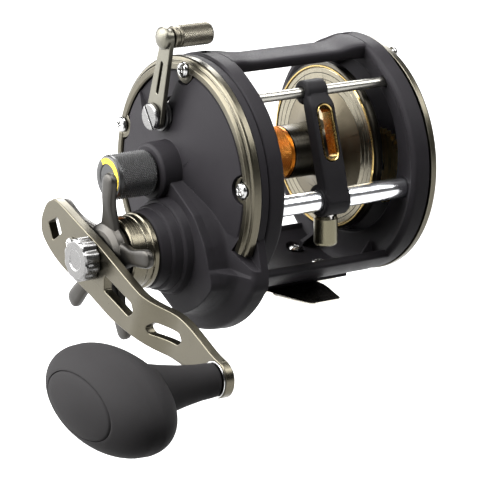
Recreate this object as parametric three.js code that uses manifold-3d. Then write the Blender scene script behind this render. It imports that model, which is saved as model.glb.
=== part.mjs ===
// Level-wind trolling reel, as an assembly of separate pieces.
// Millimetres, +Z up. The origin is the centre of the foot's underside.
//
// The pieces are laid out in the reel's own axes, and one group moves them all to the origin:
// +X runs along the spool from the handle side to the left side, -Y is the front of the reel,
// where the line leaves, and the two side rings are centred on y = 0, z = 0.
import * as THREE from 'three';
import { mergeVertices } from 'three/addons/utils/BufferGeometryUtils.js';
import { ConvexGeometry } from 'three/addons/geometries/ConvexGeometry.js';
import Module from 'manifold-3d';

const wasm = await Module();
wasm.setup();

// ---------- driving dimensions ----------
const GAP = 0.3;

const RING_R = 39;
const RING_IN = 34.5;
const PLATE_R = 38.7;
const WALL = 2.2;

// Stations along X.
const RING_FACE = 0;
const RING_BACK = 4;
const PLATE_BACK = 7;
const NEAR_RING = [7.3, 13.7];
const FAR_RING = [64.3, 70.6];
const FAR_WEB = [66, 68];
const LEFT_RING = [70.9, 74.6];
const BRIDGE = [5.3, 6.7];

// Axes that run along X, as [y, z].
const MIDDLE = [0, 0];
const SPOOL = [2, 2.9];
const CRANK = [-5.3, -19.7];
const WORM = [-30.3, -6];
const ROD = [-20.2, 27.1];
const LEVER = [5.8, 19.7];
const LEVER_TOP = [-1.8, 45.9];
const DOG = [9, -10];
const CLICK = [2, 16.9];

const FLANGE_R = 28;
const SPOOL_OPENING_R = 29;
const ARBOR_R = 8.8;
const SHAFT_R = 2;
const SHAFT_BORE = 2.3;
const SLEEVE_R = 4.4;
const SLEEVE_BORE = 4.7;
const WORM_R = 1.9;
const TUBE_R = 3.3;
const TUBE_IN = 2.4;
const ROD_R = 1.65;

const MAIN_TEETH = 52;
const PINION_TEETH = 13;
const SPOOL_TEETH = 16;
const IDLER_TEETH = 32;
const WORM_TEETH = 12;

const GUIDE_X = 36.7;
const GUIDE_WIDTH = 9.4;

const STAR_ARMS = 5;
const STAR_R = 27.5;
const STAR_PHASE = 9;

const ARM_ANGLE = 112;

const FOOT_CENTRE = [39.5, 6];
const FOOT_UNDER = -41;

// ---------- angles and points ----------
const radians = (degrees) => degrees * Math.PI / 180;

// A point at radius r and at an angle from straight up, turning towards the front.
function polar(r, degrees, centre = MIDDLE) {
  const angle = radians(degrees);
  return [centre[0] - r * Math.sin(angle), centre[1] + r * Math.cos(angle)];
}

function circle(r, centre = MIDDLE, segments = 24) {
  const points = [];
  for (let i = 0; i < segments; i += 1) {
    const angle = 2 * Math.PI * i / segments;
    points.push([centre[0] + r * Math.cos(angle), centre[1] + r * Math.sin(angle)]);
  }
  return points;
}

// Points of an arc from one polar angle to another.
function arc(r, from, to, centre = MIDDLE, steps = 12) {
  const points = [];
  for (let i = 0; i <= steps; i += 1) {
    points.push(polar(r, from + (to - from) * i / steps, centre));
  }
  return points;
}

function bearingOf(from, to) {
  return THREE.MathUtils.radToDeg(Math.atan2(from[0] - to[0], to[1] - from[1]));
}

function distance(from, to) {
  return Math.hypot(to[0] - from[0], to[1] - from[1]);
}

// ---------- solids ----------
function solid(geometry) {
  const bare = geometry.clone();
  bare.deleteAttribute('normal');
  bare.deleteAttribute('uv');
  const merged = mergeVertices(bare, 1e-4);
  const position = merged.getAttribute('position');
  const index = merged.getIndex().array;
  const corners = [];
  const [a, b, c] = [new THREE.Vector3(), new THREE.Vector3(), new THREE.Vector3()];
  let volume = 0;
  for (let i = 0; i < index.length; i += 3) {
    const [p, q, r] = [index[i], index[i + 1], index[i + 2]];
    if (p === q || q === r || r === p) continue;
    corners.push(p, q, r);
    a.fromBufferAttribute(position, p);
    b.fromBufferAttribute(position, q);
    c.fromBufferAttribute(position, r);
    volume += a.dot(b.cross(c));
  }
  if (volume < 0) corners.reverse();
  return new wasm.Manifold(new wasm.Mesh({
    numProp: 3,
    vertProperties: new Float32Array(position.array),
    triVerts: new Uint32Array(corners),
  }));
}

function join(first, ...rest) {
  return rest.reduce((whole, piece) => whole.add(piece), first);
}

function cut(first, ...rest) {
  return rest.reduce((whole, piece) => whole.subtract(piece), first);
}

// Turns a geometry drawn in x, y and extruded along z so that it lies in Y, Z and runs along X.
const ALONG_X = new THREE.Matrix4().makeBasis(
  new THREE.Vector3(0, 1, 0),
  new THREE.Vector3(0, 0, 1),
  new THREE.Vector3(1, 0, 0),
);

function outline(points) {
  return new THREE.Shape(points.map(([y, z]) => new THREE.Vector2(y, z)));
}

// A slab from x0 to x1 with a Y-Z outline and holes.
function slab(x0, x1, points, holes = []) {
  const shape = outline(points);
  shape.holes = holes.map(outline);
  const geometry = new THREE.ExtrudeGeometry(shape, { depth: x1 - x0, bevelEnabled: false });
  return solid(geometry.translate(0, 0, x0).applyMatrix4(ALONG_X));
}

function disc(x0, x1, r, centre = MIDDLE, segments = 24) {
  return slab(x0, x1, circle(r, centre, segments));
}

function tube(x0, x1, outer, inner, centre = MIDDLE, segments = 24) {
  return slab(x0, x1, circle(outer, centre, segments), [circle(inner, centre, segments)]);
}

// A stretch of a ring between two polar angles.
function ringArc(x0, x1, outer, inner, from, to, steps = 20) {
  return slab(x0, x1, [
    ...arc(outer, from, to, MIDDLE, steps),
    ...arc(inner, to, from, MIDDLE, steps),
  ]);
}

// A solid of revolution about an X axis; the profile holds [x, r] pairs.
function turned(profile, centre = MIDDLE, segments = 24) {
  const points = profile.map(([x, r]) => new THREE.Vector2(r, x));
  const geometry = new THREE.LatheGeometry(points, segments).rotateZ(-Math.PI / 2);
  return solid(geometry.translate(0, centre[0], centre[1]));
}

// The convex solid round several Y-Z outlines, each given as [x, points].
function hull(...sections) {
  const corners = sections.flatMap(([x, points]) => points.map(([y, z]) => new THREE.Vector3(x, y, z)));
  return solid(new ConvexGeometry(corners));
}

function hullSlab(x0, x1, points) {
  return hull([x0, points], [x1, points]);
}

function box(low, high) {
  const size = high.map((value, axis) => value - low[axis]);
  const centre = high.map((value, axis) => (value + low[axis]) / 2);
  return solid(new THREE.BoxGeometry(...size).translate(...centre));
}

// An upright cylinder.
function post(x, y, z0, z1, r, segments = 12) {
  const geometry = new THREE.CylinderGeometry(r, r, z1 - z0, segments).rotateX(Math.PI / 2);
  return solid(geometry.translate(x, y, (z0 + z1) / 2));
}

// ---------- the scene graph ----------
const reel = new THREE.Group();
const group = new THREE.Group();
group.add(reel);
reel.position.set(-FOOT_CENTRE[0], -FOOT_CENTRE[1], -FOOT_UNDER);

const FINISHES = {
  graphite: { color: 0x2b2a2d, roughness: 0.55, metalness: 0.1 },
  bronze: { color: 0x8f876f, roughness: 0.32, metalness: 0.9 },
  gunmetal: { color: 0x5b574d, roughness: 0.35, metalness: 0.9 },
  steel: { color: 0xc9cbcc, roughness: 0.25, metalness: 1 },
  chrome: { color: 0xe8eaec, roughness: 0.1, metalness: 1 },
  brass: { color: 0xb9974f, roughness: 0.35, metalness: 0.95 },
  orange: { color: 0xc9741c, roughness: 0.4, metalness: 0.8 },
  rubber: { color: 0x37373a, roughness: 0.85, metalness: 0 },
  fibre: { color: 0x6d5a45, roughness: 0.9, metalness: 0 },
};

function add(name, piece, finish) {
  const { vertProperties, triVerts } = piece.getMesh();
  const geometry = new THREE.BufferGeometry();
  geometry.setAttribute('position', new THREE.BufferAttribute(vertProperties, 3));
  geometry.setIndex(new THREE.BufferAttribute(triVerts, 1));
  geometry.computeVertexNormals();
  const mesh = new THREE.Mesh(geometry, new THREE.MeshStandardMaterial(FINISHES[finish]));
  mesh.name = name;
  reel.add(mesh);
}

// A fastener along +X: a pan head whose outer face is at x, and a shank.
function screwX(x, length, centre, headR = 2.6, shankR = 1.2) {
  const dome = [[x, 0], [x, headR * 0.55], [x + 0.7, headR], [x + 1.5, headR]];
  const shank = [[x + 1.5, shankR], [x + length, shankR], [x + length, 0]];
  return turned([...dome, ...shank], centre, 10);
}

// ---------- the one-piece frame ----------
const BASE_ARC = 40;
const BAR_ARC = [-2, 16.5];
const HUMP_ARC = [-4, 20];
const HUMP_R = 40;
const PAD = { low: [18, -7.5, -39.7], high: [61, 19.5, -34.5] };
const TROUGH_R = PLATE_R + 0.2;
const FOOT_SCREW_X = [23, 56];
const FOOT_SCREW_ROWS = [{ y: 1.5, seat: -36.75 }, { y: 14.5, seat: -34.6 }];
const FOOT_SCREWS = FOOT_SCREW_X.flatMap((x) => FOOT_SCREW_ROWS.map(({ y, seat }) => ({ x, y, seat })));
const RING_LUGS = [
  { angle: 3.6, r: 35.2 },
  { angle: 86.5, r: 34.4 },
  { angle: -70.7, r: 35.6 },
];
const LEFT_SCREW_ANGLES = [20, 160, 270];
const LEFT_SCREW_R = 36.75;

function makeFrame() {
  const nearRing = slab(...NEAR_RING, circle(PLATE_R, MIDDLE, 36), [circle(SPOOL_OPENING_R, SPOOL, 28)]);
  const nearHump = ringArc(...NEAR_RING, HUMP_R, 34, ...HUMP_ARC, 6);
  const farRing = cut(
    disc(...FAR_RING, PLATE_R, MIDDLE, 36),
    disc(60, 75, SPOOL_OPENING_R, SPOOL, 28),
    disc(60, FAR_WEB[0], 35, MIDDLE, 28),
    disc(FAR_WEB[1], 75, 33.8, MIDDLE, 28),
    disc(FAR_WEB[1], 75, 5.4, WORM, 12),
  );
  const farHump = ringArc(...FAR_RING, HUMP_R, 36, ...HUMP_ARC, 6);
  const span = [NEAR_RING[1] - 1, FAR_RING[0] + 1];
  const trough = ringArc(...span, TROUGH_R, TROUGH_R - WALL, 180 - BASE_ARC, 180 + BASE_ARC, 14);
  const bar = ringArc(...span, PLATE_R, 34.8, ...BAR_ARC, 6);
  const pad = box(PAD.low, PAD.high);
  const troughSpace = disc(...span, TROUGH_R - WALL, MIDDLE, 28);
  const body = join(cut(pad, troughSpace), nearRing, nearHump, farRing, farHump, trough, bar);
  const screwHoles = FOOT_SCREWS.flatMap(({ x, y, seat }) => [
    post(x, y, -45, -30, 1.5, 8),
    post(x, y, seat, -30, 3, 10),
  ]);
  const ringHoles = RING_LUGS.map(({ angle, r }) => disc(6, 12.5, 1.5, polar(r, angle), 8));
  const leftHoles = LEFT_SCREW_ANGLES.map((angle) => disc(66.6, 72, 1.3, polar(LEFT_SCREW_R, angle), 8));
  return cut(
    body,
    ...screwHoles,
    ...ringHoles,
    ...leftHoles,
    disc(8, 20, ROD_R + GAP, ROD, 10),
    disc(60, 67.2, ROD_R + GAP, ROD, 10),
    disc(6, 20, TUBE_R, WORM, 12),
    disc(60, 75, SHAFT_BORE, WORM, 10),
  );
}

// ---------- the handle-side casing ----------
const CASE_FACE = -8.5;
const GEAR_SPACE = { x: -0.9, r: 20.2 };
const WASHER_SPACE = { x: -3.5, r: 13.7 };
const LOBE = { centre: [-3, -8], r: 41, back: 5 };
const TOWER = [
  { x: -8.4, r: 16 },
  { x: -11.5, r: 14.6 },
  { x: -15, r: 13.2 },
  { x: -19, r: 12.4 },
];

function makeHandleSidePlate() {
  const dome = turned([
    [PLATE_BACK, 0], [-1.8, 0], [-1.4, 20], [0.8, RING_IN - GAP],
    [RING_BACK + GAP, RING_IN - GAP], [RING_BACK + GAP, PLATE_R], [PLATE_BACK, PLATE_R], [PLATE_BACK, 0],
  ], MIDDLE, 36);
  const lowerRim = ringArc(0.2, PLATE_BACK, PLATE_R, 32, 121.5, 233.5, 16);
  // The gear case swells out of the lower front of the plate, and steps up to the rim behind the crank.
  const lobeArc = (r) => [...arc(r, 123, 180, LOBE.centre, 10), [LOBE.back, LOBE.centre[1] - r + 1]];
  const aroundCrank = (r) => arc(r, 180, 330, CRANK, 8);
  const swelling = hull(
    [PLATE_BACK, [[-36.4, -13], ...lobeArc(LOBE.r), [LOBE.back, 9]]],
    [2, [[-36, -13.6], ...lobeArc(LOBE.r - 0.6), ...aroundCrank(22), [LOBE.back, 9]]],
    [-1.2, [[9, 9], [-12.7, -0.4], [-31, -11], ...lobeArc(LOBE.r - 3)]],
    [-3, aroundCrank(21.4)],
    [-6, [...arc(19, 100, 190, [-8, -25.5], 8), ...aroundCrank(18), [-25, -11]]],
    [CASE_FACE, [
      ...arc(9, -60, 30, SPOOL, 4),
      [-14.5, -2.5],
      ...arc(17, 80, 190, [-10.5, -24.5], 10),
      ...aroundCrank(14.6),
    ]],
  );
  const beyondRim = cut(box([-30, LOBE.back, -60], [8, 60, 0]), disc(-31, 9, PLATE_R, MIDDLE, 36));
  const lobe = cut(swelling, beyondRim);
  const tiers = TOWER.slice(1).map(({ x, r }, i) => (
    turned([[x, 0], [x, r - 0.6], [x + 0.6, r], [TOWER[i].x - 0.4, r + 0.8], [-5, r + 0.8], [-5, 0]], CRANK, 28)
  ));
  const boss = join(disc(-11, 0, 9.2, SPOOL, 18), disc(-17, 0, 5.1, SPOOL, 12));
  const body = join(dome, lowerRim, lobe, boss, ...tiers);
  const pockets = RING_LUGS.map(({ angle, r }) => disc(-6, RING_BACK + GAP, 4.9, polar(r, angle), 12));
  const screwHoles = RING_LUGS.map(({ angle, r }) => disc(2, 12, 1.5, polar(r, angle), 8));
  // The lever swings in a shallow pocket behind it.
  const leverPocket = hullSlab(-6, -0.9, [
    polar(33, -2), polar(33, -28), polar(8, -30, LEVER), polar(8, 10, LEVER),
  ]);
  const ringSpace = ringArc(-12, RING_BACK + GAP, 60, RING_IN - GAP, 121.5, -126.5, 32);
  return cut(
    body,
    ringSpace,
    disc(0.9, 9, 31.4, MIDDLE, 28),
    disc(GEAR_SPACE.x, 9, GEAR_SPACE.r, CRANK, 28),
    disc(WASHER_SPACE.x, 9, WASHER_SPACE.r, CRANK, 24),
    disc(-6.3, 9, 7.3, SPOOL, 12),
    disc(-8.3, 9, 5.2, SPOOL, 12),
    disc(-18, 9, 3.9, SPOOL, 12),
    disc(-7.5, 9, 8.3, CRANK, 18),
    disc(-20, 9, 5, CRANK, 12),
    disc(-20, -10, 10.6, CRANK, 18),
    disc(-6, 9, 2.4, LEVER, 10),
    leverPocket,
    ...pockets,
    ...screwHoles,
  );
}

function makeHandleSideRing() {
  const start = 120;
  const end = -125;
  const band = ringArc(RING_FACE, RING_BACK, RING_R, RING_IN, start, end, 32);
  const lugs = RING_LUGS.map(({ angle, r }) => disc(0.5, 3.2, 4.3, polar(r, angle), 12));
  const holes = RING_LUGS.map(({ angle, r }) => disc(-1, 5, 1.5, polar(r, angle), 8));
  const seats = RING_LUGS.map(({ angle, r }) => disc(-1, 0.6, 2.9, polar(r, angle), 10));
  const inside = disc(-1, 5, RING_R - 0.1, MIDDLE, 36);
  return cut(join(band, ...lugs.map((lug) => lug.intersect(inside))), ...holes, ...seats);
}

// ---------- the left side ----------
function makeLeftSidePlate() {
  const dome = turned([
    [74.4, 0], [74.4, 31], [LEFT_RING[0], 31], [LEFT_RING[0], RING_IN - GAP], [74.8, RING_IN - GAP],
    [76.6, 31], [77.4, 18], [77.6, 0],
  ], MIDDLE, 36);
  const bearingBoss = tube(71.4, 75, 7.2, 5.5, SPOOL, 12);
  const idlerPost = disc(68.2, 75, SHAFT_R, idlerCentre, 10);
  const clickSlot = box([70, CLICK[0] - 1.6, CLICK[1] - 6], [80, CLICK[0] + 1.6, CLICK[1] + 2]);
  return cut(join(dome, bearingBoss, idlerPost), clickSlot);
}

function makeLeftRing() {
  const band = slab(...LEFT_RING, circle(RING_R, MIDDLE, 36), [circle(RING_IN, MIDDLE, 36)]);
  const holes = LEFT_SCREW_ANGLES.map((angle) => disc(70, 76, 1.3, polar(LEFT_SCREW_R, angle), 8));
  return cut(band, ...holes);
}

// A screw for the left ring, its head facing +X.
function leftScrew(angle) {
  const x = LEFT_RING[1] + GAP;
  const profile = [[67, 0], [67, 1], [x, 1], [x, 2], [x + 1.2, 1.4], [x + 1.2, 0]];
  return turned(profile, polar(LEFT_SCREW_R, angle), 8);
}

// ---------- the foot ----------
function makeFoot() {
  const top = FOOT_UNDER + 1;
  const side = (y, sign) => FOOT_CENTRE[1] + sign * y;
  const profile = [
    [side(31.6, -1), top - 0.8], [side(18, -1), top], [side(18, 1), top], [side(31.6, 1), top - 0.8],
    [side(31.6, 1), FOOT_UNDER - 0.8], [side(18, 1), FOOT_UNDER], [side(18, -1), FOOT_UNDER],
    [side(31.6, -1), FOOT_UNDER - 0.8],
  ];
  const bent = slab(10, 70, profile);
  const half = [
    [FOOT_CENTRE[0] - 19.5, 11], [FOOT_CENTRE[0] - 10.6, 11], [FOOT_CENTRE[0] - 10.2, 16],
    [FOOT_CENTRE[0] - 6, 30.6], [FOOT_CENTRE[0] - 4.6, 31.5],
  ];
  const mirrorX = ([x, y]) => [2 * FOOT_CENTRE[0] - x, y];
  const front = [...half, ...half.map(mirrorX).reverse()];
  const plan = [
    ...front.map(([x, y]) => [x, side(y, 1)]),
    ...front.map(([x, y]) => [x, side(y, -1)]).reverse(),
  ];
  const shape = new THREE.Shape(plan.map(([x, y]) => new THREE.Vector2(x, y)));
  const cutter = solid(new THREE.ExtrudeGeometry(shape, { depth: 6, bevelEnabled: false }).translate(0, 0, -44));
  const holes = FOOT_SCREWS.map(({ x, y }) => post(x, y, -45, -35, 1.5));
  return cut(bent.intersect(cutter), ...holes);
}

function footScrew({ x, y, seat }) {
  const under = seat + GAP;
  return join(post(x, y, under, under + 1.4, 2.6), post(x, y, FOOT_UNDER + 0.1, under + 0.5, 1.2, 10));
}

// ---------- gears ----------
// Spur teeth with straight flanks and running backlash; one tooth points along `towards`.
function gear(x0, x1, teeth, pitchR, centre, towards, boreR) {
  const module = 2 * pitchR / teeth;
  const pitchAngle = 360 / teeth;
  const tipR = pitchR + 0.8 * module;
  const rootR = pitchR - 1.1 * module;
  const points = [];
  for (let tooth = 0; tooth < teeth; tooth += 1) {
    const middle = towards + tooth * pitchAngle;
    points.push(polar(rootR, middle - 0.31 * pitchAngle, centre));
    points.push(polar(tipR, middle - 0.11 * pitchAngle, centre));
    points.push(polar(tipR, middle + 0.11 * pitchAngle, centre));
    points.push(polar(rootR, middle + 0.31 * pitchAngle, centre));
  }
  return slab(x0, x1, points, boreR ? [circle(boreR, centre, 12)] : []);
}

const crankToSpool = distance(CRANK, SPOOL);
const mainPitchR = crankToSpool * MAIN_TEETH / (MAIN_TEETH + PINION_TEETH);
const pinionPitchR = crankToSpool - mainPitchR;
const towardsSpool = bearingOf(CRANK, SPOOL);

const trainSpan = distance(SPOOL, WORM);
const trainModule = trainSpan / (SPOOL_TEETH / 2 + IDLER_TEETH + WORM_TEETH / 2);
const spoolPitchR = trainModule * SPOOL_TEETH / 2;
const idlerPitchR = trainModule * IDLER_TEETH / 2;
const wormPitchR = trainModule * WORM_TEETH / 2;
const towardsWorm = bearingOf(SPOOL, WORM);
const idlerCentre = polar(spoolPitchR + idlerPitchR, towardsWorm, SPOOL);
const TRAIN = [68.5, 70.4];

function makePinion() {
  const teeth = gear(-2.8, 3.1, PINION_TEETH, pinionPitchR, SPOOL, towardsSpool + 180 + 180 / PINION_TEETH);
  const neck = disc(-4.7, 0, 3.2, SPOOL, 12);
  const collar = disc(-6, -4.6, 4.6, SPOOL, 12);
  const crossSlot = box([1.7, SPOOL[0] - 1, -5], [5, SPOOL[0] + 1, 12]);
  return cut(join(teeth, neck, collar), disc(-7, 5, SHAFT_BORE, SPOOL, 12), crossSlot);
}

function makeRatchet() {
  const teeth = 12;
  const points = [];
  for (let tooth = 0; tooth < teeth; tooth += 1) {
    const middle = bearingOf(CRANK, DOG) + tooth * 360 / teeth;
    points.push(polar(9, middle, CRANK));
    points.push(polar(7.8, middle + 4, CRANK));
  }
  return slab(3.2, 4.8, points, [circle(SLEEVE_BORE, CRANK, 12)]);
}

// ---------- the spool ----------
const ARBOR = [12.6, 58.6];
const GRIP_END = 40.5;

function makeSpool() {
  return turned([
    [8, SHAFT_BORE], [8, 5], [10.2, 6], [10.2, FLANGE_R], [12.6, FLANGE_R], [12.6, 7.6], [GRIP_END + GAP, 7.6],
    [GRIP_END + GAP, ARBOR_R], [55, ARBOR_R], [57.4, 12], [58.6, 20], [58.6, FLANGE_R], [61.4, FLANGE_R],
    [61.4, 14], [63, 6], [66, 6], [66, SHAFT_BORE], [8, SHAFT_BORE],
  ], SPOOL, 28);
}

function makeSpoolShaft() {
  const pinHole = post(2.4, SPOOL[0], -5, 12, 0.8, 10);
  return cut(disc(-17, 73.8, SHAFT_R, SPOOL, 12), pinHole);
}

function makeClickGear() {
  const teeth = 12;
  const points = [];
  for (let tooth = 0; tooth < teeth; tooth += 1) {
    points.push(polar(7, tooth * 30 - 5, SPOOL));
    points.push(polar(7, tooth * 30 + 5, SPOOL));
    points.push(polar(5.8, tooth * 30 + 15, SPOOL));
  }
  return slab(66.3, 67.8, points, [circle(SHAFT_BORE, SPOOL, 12)]);
}

// ---------- the level wind ----------
const leanAngle = bearingOf(WORM, ROD);
const SLOT_LENGTH = 17;

function makeWormShield() {
  const body = tube(14, 65.7, TUBE_R, TUBE_IN, WORM, 12);
  return cut(body, box([19, WORM[0] - 0.9, -12], [61, WORM[0] + 0.9, WORM[1]]));
}

// A point in the carriage's own leaning axes: along from the worm to the rod, and out to the front.
function carriagePoint(along, out) {
  const [y, z] = polar(along, leanAngle, WORM);
  return [y - out * Math.cos(radians(leanAngle)), z - out * Math.sin(radians(leanAngle))];
}

const carriageLength = distance(WORM, ROD);
const carriageX = [GUIDE_X - GUIDE_WIDTH / 2, GUIDE_X + GUIDE_WIDTH / 2];

// The line slot's racetrack, cut straight through the leaning blade.
function lineSlot(width, length, near, far) {
  const points = [];
  const reach = (length - width) / 2;
  for (let i = 0; i < 20; i += 1) {
    const angle = 2 * Math.PI * (i + 0.5) / 20;
    const along = Math.sin(angle) * width / 2 + (i < 10 ? reach : -reach);
    points.push([GUIDE_X + Math.cos(angle) * width / 2, carriageLength * 0.6 + along]);
  }
  const corners = points.flatMap(([x, along]) => [near, far].map((out) => {
    const [y, z] = carriagePoint(along, out);
    return new THREE.Vector3(x, y, z);
  }));
  return solid(new ConvexGeometry(corners));
}

function makeLineGuide() {
  const blade = slab(...carriageX, [
    carriagePoint(0, 0.3), carriagePoint(carriageLength, 0.3), carriagePoint(carriageLength, 3.8),
    carriagePoint(carriageLength * 0.85, 5.4), carriagePoint(carriageLength * 0.2, 5.4), carriagePoint(0, 5.2),
  ]);
  const block = disc(...carriageX, 5.2, WORM, 12);
  const hook = disc(GUIDE_X - 4.2, GUIDE_X + 4.2, 3.9, ROD, 12);
  return cut(
    join(blade, block, hook),
    disc(25, 50, TUBE_R + GAP, WORM, 12),
    disc(25, 50, ROD_R + GAP, ROD, 12),
    lineSlot(6.2, SLOT_LENGTH + 1.8, -3, 8),
    post(GUIDE_X, WORM[0], -14, WORM[1], 1.9),
  );
}

function makeLineGuideInsert() {
  return cut(lineSlot(5.6, SLOT_LENGTH + 1.2, -0.2, 5.8), lineSlot(4.6, SLOT_LENGTH, -3, 9));
}

function makePawlCap() {
  const z = WORM[1] - 5.6;
  return cut(post(GUIDE_X, -28.2, z - 9.8, z, 3.9, 16), post(GUIDE_X, WORM[0], z - 5, z + 1, 1.6, 10));
}

function makePawl() {
  const stem = post(GUIDE_X, WORM[0], WORM[1] - 10, WORM[1] - TUBE_R - 0.2, 1.2, 10);
  return join(stem, post(GUIDE_X, WORM[0], WORM[1] - 3.5, WORM[1] - 2.1, 0.5, 8));
}

// ---------- the clutch ----------
function makeClutchLever() {
  const blade = hullSlab(-6.3, -4.5, [...circle(4.2, LEVER, 12), ...circle(2.6, LEVER_TOP, 10)]);
  const direction = bearingOf(LEVER, LEVER_TOP);
  const slot = hullSlab(-8, 0, [
    ...circle(0.7, polar(9, direction, LEVER), 8), ...circle(0.7, polar(18, direction, LEVER), 8),
  ]);
  return cut(blade, slot, disc(-8, 0, 2.3, LEVER, 10), disc(-8, 0, 1.7, LEVER_TOP, 8));
}

function makeClutchCam() {
  const heel = polar(8.4, bearingOf(LEVER, SPOOL), LEVER);
  return cut(hullSlab(1.3, 2.8, [...circle(4.6, LEVER, 12), ...circle(2, heel, 10)]), disc(0, 4, 2.3, LEVER, 10));
}

function makeYoke() {
  const plate = tube(-4.3, -3.1, 6.9, 3.5, SPOOL, 12);
  return cut(plate, box([-5, SPOOL[0] - 10, SPOOL[1] - 3.5], [-2, SPOOL[0], SPOOL[1] + 3.5]));
}

function makeDog() {
  const tip = polar(distance(DOG, CRANK) - 9.9, bearingOf(DOG, CRANK), DOG);
  return cut(hullSlab(3.3, 4.8, [...circle(2.4, DOG, 12), ...circle(0.5, tip, 8)]), disc(3, 5, 1.4, DOG, 10));
}

function makeBridge() {
  const plate = slab(...BRIDGE, circle(31.1, MIDDLE, 28), [circle(5.5, SPOOL, 12), circle(2.5, CRANK, 10)]);
  return join(plate, disc(3.4, 5.4, 1.1, DOG, 10));
}

// ---------- the star drag and the handle ----------
function makeStar() {
  const hub = turned([[-28.6, 0], [-28.6, 10], [-31, 10.6], [-33.9, 8.6], [-33.9, 0]], CRANK, 20);
  const arms = [];
  for (let i = 0; i < STAR_ARMS; i += 1) {
    const angle = STAR_PHASE + i * 360 / STAR_ARMS;
    const root = polar(8, angle, CRANK);
    const elbow = polar(17, angle, CRANK);
    const tip = polar(STAR_R - 2.6, angle, CRANK);
    arms.push(hull([-29.2, circle(3.6, root, 8)], [-32.4, circle(3.6, root, 8)],
      [-29.4, circle(2.7, elbow, 8)], [-32.4, circle(2.7, elbow, 8)]));
    arms.push(hull([-29.4, circle(2.7, elbow, 8)], [-32.4, circle(2.7, elbow, 8)],
      [-30.6, circle(2.6, tip, 8)], [-33.8, circle(2.6, tip, 8)]));
  }
  return cut(join(hub, ...arms), disc(-40, -20, SLEEVE_BORE, CRANK, 12));
}

function makeCollar() {
  const wide = [[-19.3, SLEEVE_BORE], [-19.3, 12.2], [-21, 12.2]];
  const narrow = [[-21.4, 11.6], [-28.3, 11.4], [-28.3, SLEEVE_BORE], [-19.3, SLEEVE_BORE]];
  return turned([...wide, ...narrow], CRANK, 20);
}

// The handle blade's outline: distances along the arm from the crank axis, and across it.
const BLADE_TOP = [[-23, 6.4], [5, 6.4], [23, 5.4], [34, 5.6], [48, 7.2], [62, 6.2]];
const BLADE_BOTTOM = [
  [61, -5.2], [50, -6.4], [39, -9], [29, -9.8], [17, -11.4], [4, -11.4], [-12, -12], [-21, -11],
];
const BLADE_END = [[-27, -8.6], [-29.2, -4.4], [-28.6, 1.4], [-26.4, 4.6]];
const BLADE_BACK = -34.4;
const BLADE_THICK = 3.1;
const BLADE_STEP = 4;
const BLADE_RAMP = [28.5, 44];
const BLADE_WINDOWS = [
  [[-25.2, -3], [-21, 1.6], [-17.2, -2], [-20.8, -7]],
  [[9.6, -0.8], [25, -0.2], [27, -2.4], [25, -5], [11, -5]],
  [[33, -3.6], [36, -0.2], [46, 2.2], [48, 0.6], [46.4, -1.8], [35, -5]],
];

function armPoint([along, across]) {
  const [y, z] = polar(along, ARM_ANGLE, CRANK);
  const angle = radians(ARM_ANGLE);
  return [y + across * Math.cos(angle), z + across * Math.sin(angle)];
}

const KNOB = armPoint([67.5, 0.45]);
const LOCK_SCREW = armPoint([-10.3, -1.2]);

function makeHandleArm() {
  // The blade seen from its edge: flat at the crank, a ramp towards the reel, and flat at the knob.
  const [rampStart, rampEnd] = BLADE_RAMP;
  const knobBack = BLADE_BACK + BLADE_STEP;
  const backEdge = [[-40, BLADE_BACK], [rampStart, BLADE_BACK], [rampEnd, knobBack], [80, knobBack]];
  const frontEdge = backEdge.map(([along, x]) => [along, x - BLADE_THICK]);
  const edge = [...backEdge, ...frontEdge.reverse()];
  const sheet = new THREE.ExtrudeGeometry(
    new THREE.Shape(edge.map(([along, x]) => new THREE.Vector2(along, x))),
    { depth: 40, bevelEnabled: false },
  );
  const [origin, alongEnd, acrossEnd] = [armPoint([0, -20]), armPoint([1, -20]), armPoint([0, -19])];
  const place = new THREE.Matrix4().makeBasis(
    new THREE.Vector3(0, alongEnd[0] - origin[0], alongEnd[1] - origin[1]),
    new THREE.Vector3(1, 0, 0),
    new THREE.Vector3(0, acrossEnd[0] - origin[0], acrossEnd[1] - origin[1]),
  ).setPosition(0, ...origin);
  const plan = [...BLADE_TOP, ...BLADE_BOTTOM, ...BLADE_END].map(armPoint);
  const blade = solid(sheet.applyMatrix4(place)).intersect(slab(-50, -20, plan));
  const boss = disc(knobBack - BLADE_THICK, knobBack, 6.2, KNOB, 18);
  const windows = BLADE_WINDOWS.map((points) => slab(-50, -20, points.map(armPoint)));
  return cut(
    join(blade, boss),
    ...windows,
    disc(-50, -20, SLEEVE_BORE, CRANK, 12),
    disc(-50, -20, 2.5, KNOB, 10),
    disc(-50, -20, 1.3, LOCK_SCREW, 10),
  );
}

function makeHandleNut() {
  const points = [];
  const flutes = 10;
  for (let i = 0; i < flutes; i += 1) {
    const middle = i * 360 / flutes;
    points.push(polar(7, middle - 11, CRANK), polar(7, middle + 11, CRANK), polar(6.3, middle + 18, CRANK));
  }
  const cap = slab(-43, BLADE_BACK - BLADE_THICK - GAP, points);
  return cut(cap, disc(-41.6, -30, SLEEVE_BORE, CRANK, 12));
}

function makeSleeve() {
  return cut(disc(-41.2, 4.9, SLEEVE_R, CRANK, 12), disc(-42, 6, 2.5, CRANK, 10));
}

function makeGearPost() {
  return disc(-30, 7.1, 2.1, CRANK, 10);
}

// ---------- the knob ----------
const KNOB_HEAD = { x: -69.9, half: [14, 15.1, 28.2], lean: 96.8 };
const NECK = [[-34.2, 5.3], [-40, 5.6], [-46, 6.4], [-52, 7.6], [-58, 9], [-62, 9.4]];

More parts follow.
